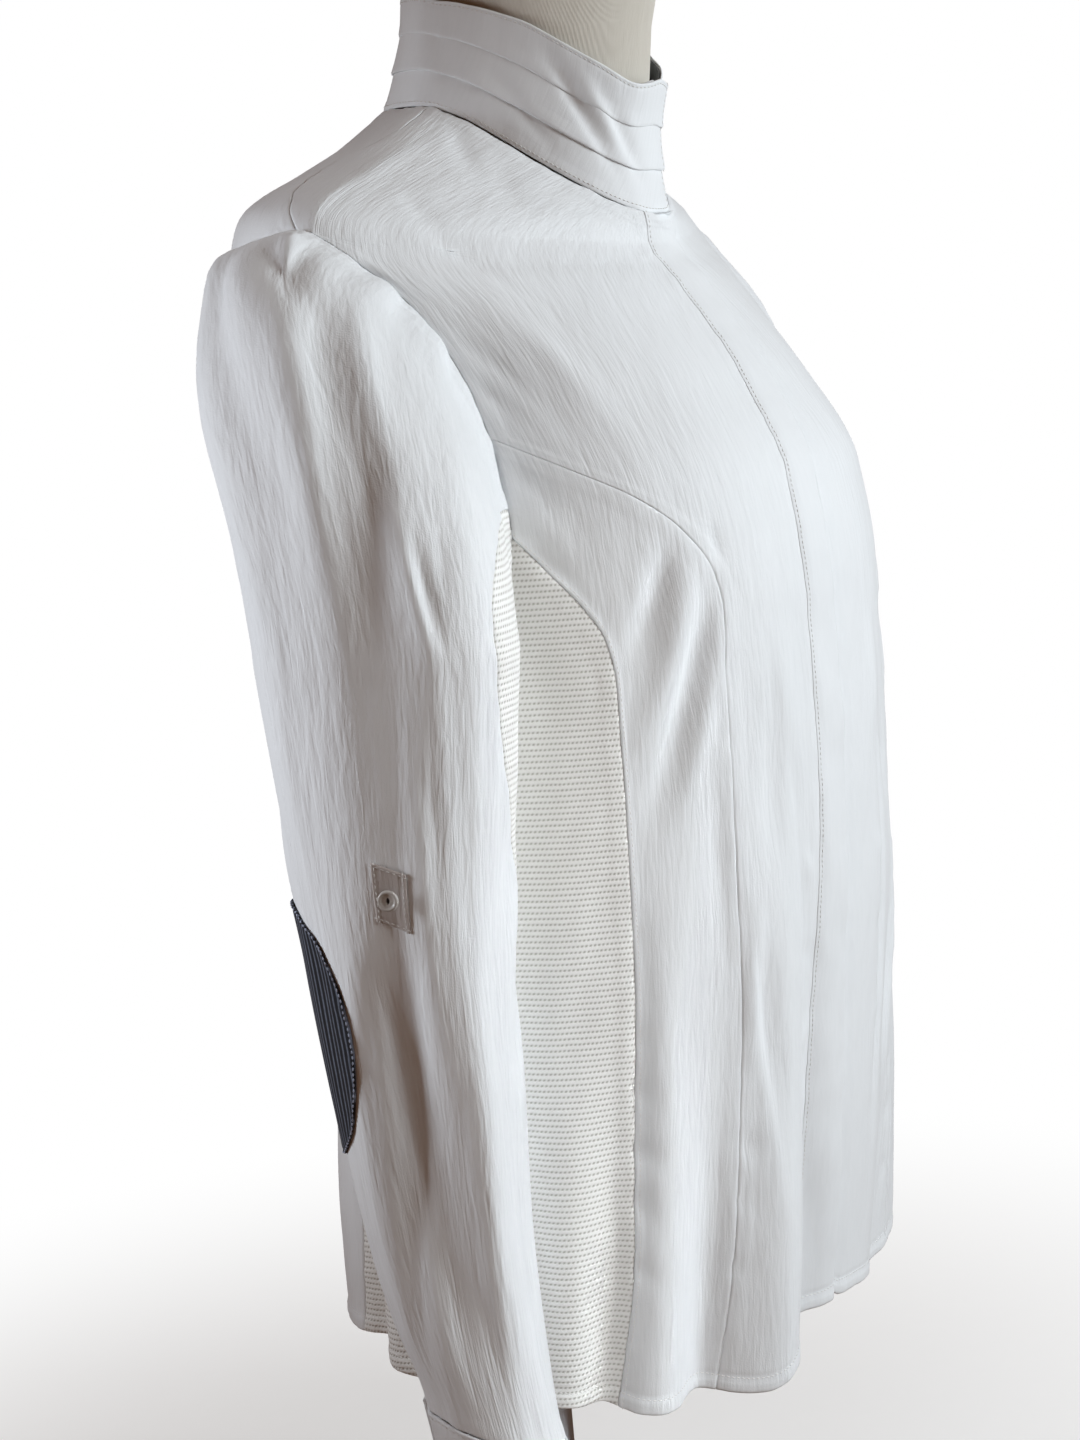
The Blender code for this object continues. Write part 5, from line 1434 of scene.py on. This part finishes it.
def make_button(name, phi, reach, out, side):
    """A round button with a raised rim and a dished middle with a slot, and the thread in the slot."""
    base = sleeve_form_point(phi, reach, out, side)
    normal = unit(sleeve_form_point(phi, reach, out + 0.001, side) - base)
    along = unit(sleeve_form_point(phi, reach + 0.02, out, side) - base)
    along = unit(along - normal * np.dot(along, normal))
    aside = np.cross(normal, along)
    base = base + BUTTON_STANDS * normal
    angle = np.radians(np.arange(BUTTON_SIDES) * 360 / BUTTON_SIDES)[:, None]

    def ring(long, wide, high):
        return base + normal * high + np.cos(angle) * along * long + np.sin(angle) * aside * wide

    rings = [ring(radius * BUTTON_RADIUS, radius * BUTTON_RADIUS, height * BUTTON_THICK)
             for radius, height in zip(*BUTTON_SECTION.values())]
    rings += [ring(SLOT[0] * grow, SLOT[1] * grow, high * BUTTON_THICK)
              for grow, high in SLOT_SECTION]
    made = lofted(name, rings, PEARL, 0.03)
    # The thread in the slot is near black: painted shade at the bottom of the slot.
    shank = [ring(SLOT[0] * long, SLOT[1] * wide, high) for long, wide, high in SHANK_SECTION]
    return made, lofted(name.replace("pearl", "thread"), shank, SLOT_SHADE_THREAD, 0.005)


def sleeve_form_point(phi, reach, out, side):
    """A point off the sleeve's large form, where a flat hard piece lies."""
    def form(first, second):
        return sleeve_form(first, second, side)

    def folded(first, second):
        around = first - (0 if side > 0 else OTHER_SLEEVE)
        lift = relief(SLEEVE_FOLDS, around, second, SLEEVE_DEGREE, SLEEVE_REACH)
        return form(first, second) + lift[..., None] * facing(form, first, second, 2.0, -0.02)

    spot, way = np.array(float(phi)), np.array(float(reach))
    return (folded(spot, way) + out * facing(folded, spot, way, 2.0, -0.02)) * [side, 1, 1]


# ---------------------------------------------------------------- stitching

STITCH_PITCH = 0.0026        # from one stitch to the next
STITCH_LONG = 0.0019
STITCH_THICK = 0.00042
STITCH_INPUTS = dict(Lines="NodeSocketGeometry", Pitch="NodeSocketFloat", Long="NodeSocketFloat",
                     Thick="NodeSocketFloat", Thread="NodeSocketMaterial")


def stitch_tree():
    """Lays one short rounded stitch after another along every line of a mesh's edges."""
    tree = bpy.data.node_groups.new("stitches_along_lines", "GeometryNodeTree")
    for name, kind in STITCH_INPUTS.items():
        tree.interface.new_socket(name, in_out="INPUT", socket_type=kind)
    tree.interface.new_socket("Stitches", in_out="OUTPUT", socket_type="NodeSocketGeometry")
    given = tree.nodes.new("NodeGroupInput").outputs
    curve = add(tree, "GeometryNodeMeshToCurve", {"Mesh": given["Lines"]})
    spots = add(tree, "GeometryNodeCurveToPoints", {"Curve": curve.outputs[0], "Length": given["Pitch"]},
                mode="LENGTH")
    grain = add(tree, "GeometryNodeMeshIcoSphere", {"Radius": 0.5, "Subdivisions": 1})
    size = add(tree, "ShaderNodeCombineXYZ", {"X": given["Thick"], "Y": given["Thick"], "Z": given["Long"]})
    laid = add(tree, "GeometryNodeInstanceOnPoints",
               {"Points": spots.outputs["Points"], "Instance": grain.outputs["Mesh"],
                "Rotation": spots.outputs["Rotation"], "Scale": size.outputs[0]})
    real = add(tree, "GeometryNodeRealizeInstances", {"Geometry": laid.outputs[0]})
    smooth = add(tree, "GeometryNodeSetShadeSmooth", {"Geometry": real.outputs[0]})
    done = add(tree, "GeometryNodeSetMaterial", {"Geometry": smooth.outputs[0], "Material": given["Thread"]})
    add(tree, "NodeGroupOutput", {"Stitches": done.outputs[0]})
    return tree


def sew(name, lines, thread, thick, tree):
    """Stitches along lines of points, as one plain mesh."""
    points = np.concatenate(lines)
    starts = np.cumsum([0] + [len(line) for line in lines])
    edges = [(i, i + 1) for start, end in zip(starts, starts[1:]) for i in range(start, end - 1)]
    guide = bpy.data.meshes.new(name + "_lines")
    guide.from_pydata(points.tolist(), edges, [])
    made = bpy.data.objects.new(name, guide)
    bpy.context.scene.collection.objects.link(made)
    modifier = made.modifiers.new("stitches", "NODES")
    modifier.node_group = tree
    names = {item.name: item.identifier for item in tree.interface.items_tree if item.in_out == "INPUT"}
    for key, value in (("Pitch", STITCH_PITCH), ("Long", STITCH_LONG), ("Thick", thick), ("Thread", thread)):
        modifier[names[key]] = value
    evaluated = made.evaluated_get(bpy.context.evaluated_depsgraph_get())
    plain = bpy.data.meshes.new_from_object(evaluated)
    made.modifiers.clear()
    made.data = plain
    bpy.data.meshes.remove(guide)
    return made


# ---------------------------------------------------------------- the stand

def turned(name, profile, finish, sides=96):
    """A body turned round the Z axis from a profile of radii and heights, bottom to top."""
    angle = np.arange(sides) * math.tau / sides
    rings = [np.stack([radius * np.cos(angle), radius * np.sin(angle), height + 0 * angle], -1)
             for radius, height in profile]
    return lofted(name, rings, finish, 1.0)


def rounded(radius, height, edge, way, steps=5):
    """Points of a rounded edge between a flat and a wall, rising (way 1) or closing in (way -1)."""
    angle = np.linspace(0, math.pi / 2, steps + 1)
    if way > 0:
        return [(radius - edge + edge * math.sin(a), height + edge - edge * math.cos(a)) for a in angle]
    return [(radius - edge + edge * math.cos(a), height - edge + edge * math.sin(a)) for a in angle]


PLATE_THICK = 0.012
PLATE_EDGE = 0.002           # radius of the plate's edges
BOSS_RADIUS = 0.030          # of the boss that carries the column
COLUMN_EDGE = 0.001


def make_stand():
    """A turned plate with a boss in its middle, and the column that stands in it."""
    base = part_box("stand_base")
    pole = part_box("stand_pole")
    radius, top = base[1][0], base[1][2]
    thick, foot, neck = PLATE_THICK, BOSS_RADIUS, pole[1][0]
    profile = rounded(radius, 0, PLATE_EDGE, 1) + rounded(radius, thick, PLATE_EDGE, -1)
    profile += [(foot + 0.004, thick + 0.0002), (foot, thick + 0.002), (foot - 0.003, thick + 0.006),
                (foot - 0.008, thick + 0.010), (neck + 0.004, top - 0.0006), (neck + 0.002, top)]
    plate = turned("stand_plate_steel", profile, STEEL_BASE)
    profile = rounded(neck, pole[0][2], COLUMN_EDGE, 1) + rounded(neck, pole[1][2], COLUMN_EDGE, -1)
    return plate, turned("stand_column_steel", profile, STEEL_POLE, 64)


# ---------------------------------------------------------------- making it all

CUFF_TOP = CUFF_STANDS + FOLDED + 2 * LAP + 2 * LAP      # the cuff's outer face, off the sleeve's line
CUFF_BUTTON = (CUFF_OPENS - CUFF_LAP * 1.5 - 360, 2.085)  # phi and reach

make_trunk()
make_collar()
BUTTONS = []
for SIDE, TAG in ((1, "right"), (-1, "left")):
    make_sleeves(SIDE, TAG)
    make_cuff(SIDE, TAG)
    make_sewn_on(SIDE, TAG)
    BUTTONS.append(("cuff_button_" + TAG, *make_button("cuff_pearl_" + TAG, *CUFF_BUTTON, CUFF_TOP, SIDE)))
    BUTTONS.append(("tab_button_" + TAG, *make_button("tab_pearl_" + TAG, TAB["phi"], TAB["reach"],
                                                      ON_CLOTH + SHELL + 2 * LAP, SIDE)))
FORM = make_form()
PLATE, COLUMN = make_stand()

# Each piece of cloth: the model's node that it stands for, the slot of its finish, the size it was
# cut to (width, length and area of what shows), how it is held, and what it rests on.  A star
# stands for right and then for left, and such a row gives both areas.
CLOTHS = [
    ("back_cloth", "back", "white_crepe", (0.48, 0.62), 0.226, "draped", "dress_form"),
    ("front_cloth_right", "front_right", "white_crepe", (0.22, 0.66), 0.069, "draped", "dress_form"),
    ("front_cloth_left", "front_left", "white_crepe", (0.24, 0.66), 0.099, "draped", "dress_form"),
    ("side_front_cloth_*", "side_front_*", "white_crepe", (0.12, 0.50), (0.0295, 0.0295), "draped",
     "dress_form"),
    ("side_mesh_cloth_*", "side_mesh_*", "cream_mesh", (0.19, 0.44), (0.069, 0.068), "draped", "dress_form"),
    ("fly_cloth", "fly_band", "white_crepe", (0.028, 0.61), 0.0169, "hung", "front_cloth_right"),
    ("sleeve_cloth_*", "sleeve_*", "white_crepe", (0.36, 0.60), (0.130, 0.129), "hung", "back_cloth"),
    ("gusset_cloth_*", "gusset_*", "cream_mesh", (0.20, 0.32), (0.0335, 0.0330), "hung", "side_mesh_cloth_*"),
    ("cuff_cloth_*", "cuff_*", "white_crepe", (0.226, 0.060), (0.0128, 0.0128), "hung", "sleeve_cloth_*"),
    ("tab_cloth_*", "tab_patch_*", "white_crepe", (0.023, 0.027), (0.0006, 0.0006), "laid", "sleeve_cloth_*"),
    ("elbow_cloth_*", "elbow_patch_*", "navy_pinstripe", (0.089, 0.120), (0.0084, 0.0084), "laid",
     "sleeve_cloth_*"),
    ("collar_lower", "collar_tier_lower", "white_crepe", (0.476, 0.024), 0.0096, "draped", "dress_form"),
    ("collar_middle", "collar_tier_middle", "white_crepe", (0.460, 0.024), 0.0095, "draped", "collar_lower"),
    ("collar_upper", "collar_tier_upper", "white_crepe", (0.453, 0.022), 0.0086, "draped", "collar_middle"),
    ("collar_inside", "collar_facing", "grey_heather", (0.452, 0.067), 0.0253, "draped", "dress_form"),
]

# How far inside an edge each kind of stitching runs, in metres.
HEM_STITCH = 0.0082
EDGE_STITCH = 0.0021         # along the fly, the collar's top and the cuffs
FELLED_STITCH = 0.0032
NECK_STITCH = 0.0024
COLLAR_END_STITCH = 0.0026
TAB_STITCH = 0.0016
PATCH_STITCH = 0.0007


def both(name, edges, distance):
    """The same lines of stitching on a right and a left piece."""
    return [(name + tag, edge, distance) for tag in ("right", "left") for edge in edges]


# The lines of stitching: their thread, its thickness, and each line's piece, edge and distance.
SEWN = [
    ("topstitching_trunk", THREAD, STITCH_THICK,
     [("back_cloth", "bottom", HEM_STITCH), ("fly_cloth", "bottom", HEM_STITCH),
      ("fly_cloth", "last", EDGE_STITCH)]
     + both("front_cloth_", ["bottom"], HEM_STITCH)
     + both("side_front_cloth_", ["bottom"], HEM_STITCH)
     + both("side_mesh_cloth_", ["bottom"], HEM_STITCH)
     + both("side_front_cloth_", ["last"], FELLED_STITCH)),
    ("topstitching_collar", THREAD, 1.4 * STITCH_THICK,
     [("collar_upper", "top", EDGE_STITCH), ("collar_lower", "bottom", NECK_STITCH)]
     + [(name, edge, COLLAR_END_STITCH) for edge in ("first", "last") for name in TIER_NAMES[:3]]),
    ("topstitching_cuffs", THREAD, STITCH_THICK, both("cuff_cloth_", SEWN_ROUND, EDGE_STITCH)),
    ("tab_stitching", THREAD, STITCH_THICK, both("tab_cloth_", SEWN_ROUND, TAB_STITCH)),
    ("elbow_stitching", BLUE_THREAD, 2 * STITCH_THICK, both("elbow_cloth_", SEWN_ROUND, PATCH_STITCH)),
]

for NAME, NODE, SLOT_NAME, FLAT, AREAS, HELD, RESTS in CLOTHS:
    for TAG, AREA in zip(("right", "left"), AREAS) if "*" in NAME else [("", AREAS)]:
        PIECE = bpy.data.objects[NAME.replace("*", TAG)]
        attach(PIECE, "root")
        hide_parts(NODE.replace("*", TAG))

STITCH_TREE = stitch_tree()
for NAME, THREAD_FINISH, THICK, PLACES in SEWN:
    PIECE = sew(NAME, [line_inside(*place) for place in PLACES], THREAD_FINISH, THICK, STITCH_TREE)
    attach(PIECE, "root")

for NODE, BUTTON, SHANK in BUTTONS:
    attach(BUTTON, "root")
    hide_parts(NODE)
    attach(SHANK, "root")
for PIECE, NODE, SLOT_NAME in ((FORM, "dress_form", "form_linen"), (PLATE, "stand_base", "stand_steel"),
                               (COLUMN, "stand_pole", "stand_steel")):
    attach(PIECE, "root")
    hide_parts(NODE)


# ---------------------------------------------------------------- floor, light and camera

FLOOR_HALF = 12.0
FLOOR_SHADED = 0.20          # the floor is plain card this far out from the stand
FLOOR_WHITE = 0.85           # and as white as the room beyond this


def add_floor():
    """Pale card that takes the stand's soft shadow and runs out into the white of the room."""
    mesh = bpy.data.meshes.new("studio_floor")
    half = FLOOR_HALF
    corners = [(-half, -half, 0), (half, -half, 0), (half, half, 0), (-half, half, 0)]
    mesh.from_pydata(corners, [], [(0, 1, 2, 3)])
    mesh.materials.append(floor_material())
    floor = bpy.data.objects.new("studio_floor", mesh)
    bpy.context.scene.collection.objects.link(floor)
    floor.visible_diffuse = False
    floor.visible_glossy = False


def add_light(name, azimuth, elevation, distance, wide, high, power, colour, aim, spread):
    """A soft window of light that faces a place on the shirt from an azimuth and elevation."""
    lamp = bpy.data.lights.new(name, "AREA")
    lamp.shape, lamp.size, lamp.size_y = "RECTANGLE", wide, high
    lamp.energy, lamp.color = power, colour
    lamp.spread = math.radians(spread)
    window = bpy.data.objects.new(name, lamp)
    bpy.context.scene.collection.objects.link(window)
    turn, rise = math.radians(azimuth), math.radians(elevation)
    way = Vector((math.cos(turn) * math.cos(rise), math.sin(turn) * math.cos(rise), math.sin(rise)))
    window.location = Vector(aim) + way * distance
    window.rotation_euler = way.to_track_quat("Z", "Y").to_euler()
    window.visible_camera = False


CHEST = (0, MIDDLE, 0.55)
UPPER_SLEEVE = (-0.24, -0.07, 0.56)
WAIST_SIDE = (-0.140, -0.105, 0.31)

# The windows: azimuth, elevation and distance from the place each is aimed at, its width and height,
# power and colour, that place, and how wide its light spreads, in degrees.
WINDOWS = [
    ("window_front", -84, 20, 2.2, 1.2, 1.2, 36, (0.90, 0.965, 1.0), CHEST, 180),
    ("window_low", -66, 4, 2.2, 1.2, 1.2, 17, (0.82, 0.93, 1.0), CHEST, 180),
    ("window_side", -125, 4, 1.0, 0.10, 0.60, 0.09, (0.94, 0.98, 1.0), WAIST_SIDE, 14),
    ("window_back", 122, 12, 1.1, 0.35, 0.35, 1.10, (0.86, 0.93, 1.0), UPPER_SLEEVE, 52),
]
ROOM_LIGHT = 0.14            # strength of the room's warm fill


def add_world():
    """A pale room: white to look at, and a little dimmer as light."""
    world = bpy.data.worlds.new("studio_room")
    bpy.context.scene.world = world
    world.use_nodes = True
    tree = world.node_tree
    tree.nodes.clear()
    path = add(tree, "ShaderNodeLightPath")
    room = add(tree, "ShaderNodeBackground", {"Color": linear("#e2a77c"), "Strength": ROOM_LIGHT})
    seen = add(tree, "ShaderNodeBackground", {"Color": linear("#ffffff"), "Strength": 1.0})
    mix = add(tree, "ShaderNodeMixShader",
              {0: path.outputs["Is Camera Ray"], 1: room.outputs[0], 2: seen.outputs[0]})
    add(tree, "ShaderNodeOutputWorld", {"Surface": mix.outputs[0]})


CAMERA_ANGLES = (-59.5, 9.2, -5.0)                # azimuth, how far it tips down, and its roll
CAMERA_HEIGHT = 0.724
CAMERA_DISTANCE = 1.386
CAMERA_ASIDE = -0.010
CAMERA_LENS, CAMERA_FILM = 65, 36                 # in millimetres


def add_camera():
    """Level with the chest at the wearer's right front, tipped down a little, and rolled."""
    azimuth, pitch, roll = (math.radians(angle) for angle in CAMERA_ANGLES)
    right = Vector((math.cos(azimuth), math.sin(azimuth), 0))
    level = Vector((-math.sin(azimuth), math.cos(azimuth), 0))
    ahead = level * math.cos(pitch) - Vector((0, 0, 1)) * math.sin(pitch)
    up = right.cross(ahead)
    side = right * math.cos(roll) + up * math.sin(roll)
    top = up * math.cos(roll) - right * math.sin(roll)
    place = Vector((0, MIDDLE, CAMERA_HEIGHT)) - level * CAMERA_DISTANCE + right * CAMERA_ASIDE
    lens = bpy.data.cameras.new("camera")
    lens.lens, lens.sensor_fit = CAMERA_LENS, "VERTICAL"
    lens.sensor_width, lens.sensor_height = CAMERA_FILM, CAMERA_FILM
    lens.clip_start = 0.01
    lens.dof.use_dof = False
    camera = bpy.data.objects.new("camera", lens)
    camera.matrix_world = Matrix(((side.x, top.x, -ahead.x, place.x), (side.y, top.y, -ahead.y, place.y),
                                  (side.z, top.z, -ahead.z, place.z), (0, 0, 0, 1)))
    bpy.context.scene.collection.objects.link(camera)
    bpy.context.scene.camera = camera


add_floor()
for WINDOW in WINDOWS:
    add_light(*WINDOW)
add_world()
add_camera()
bpy.context.scene.view_settings.view_transform = "Standard"
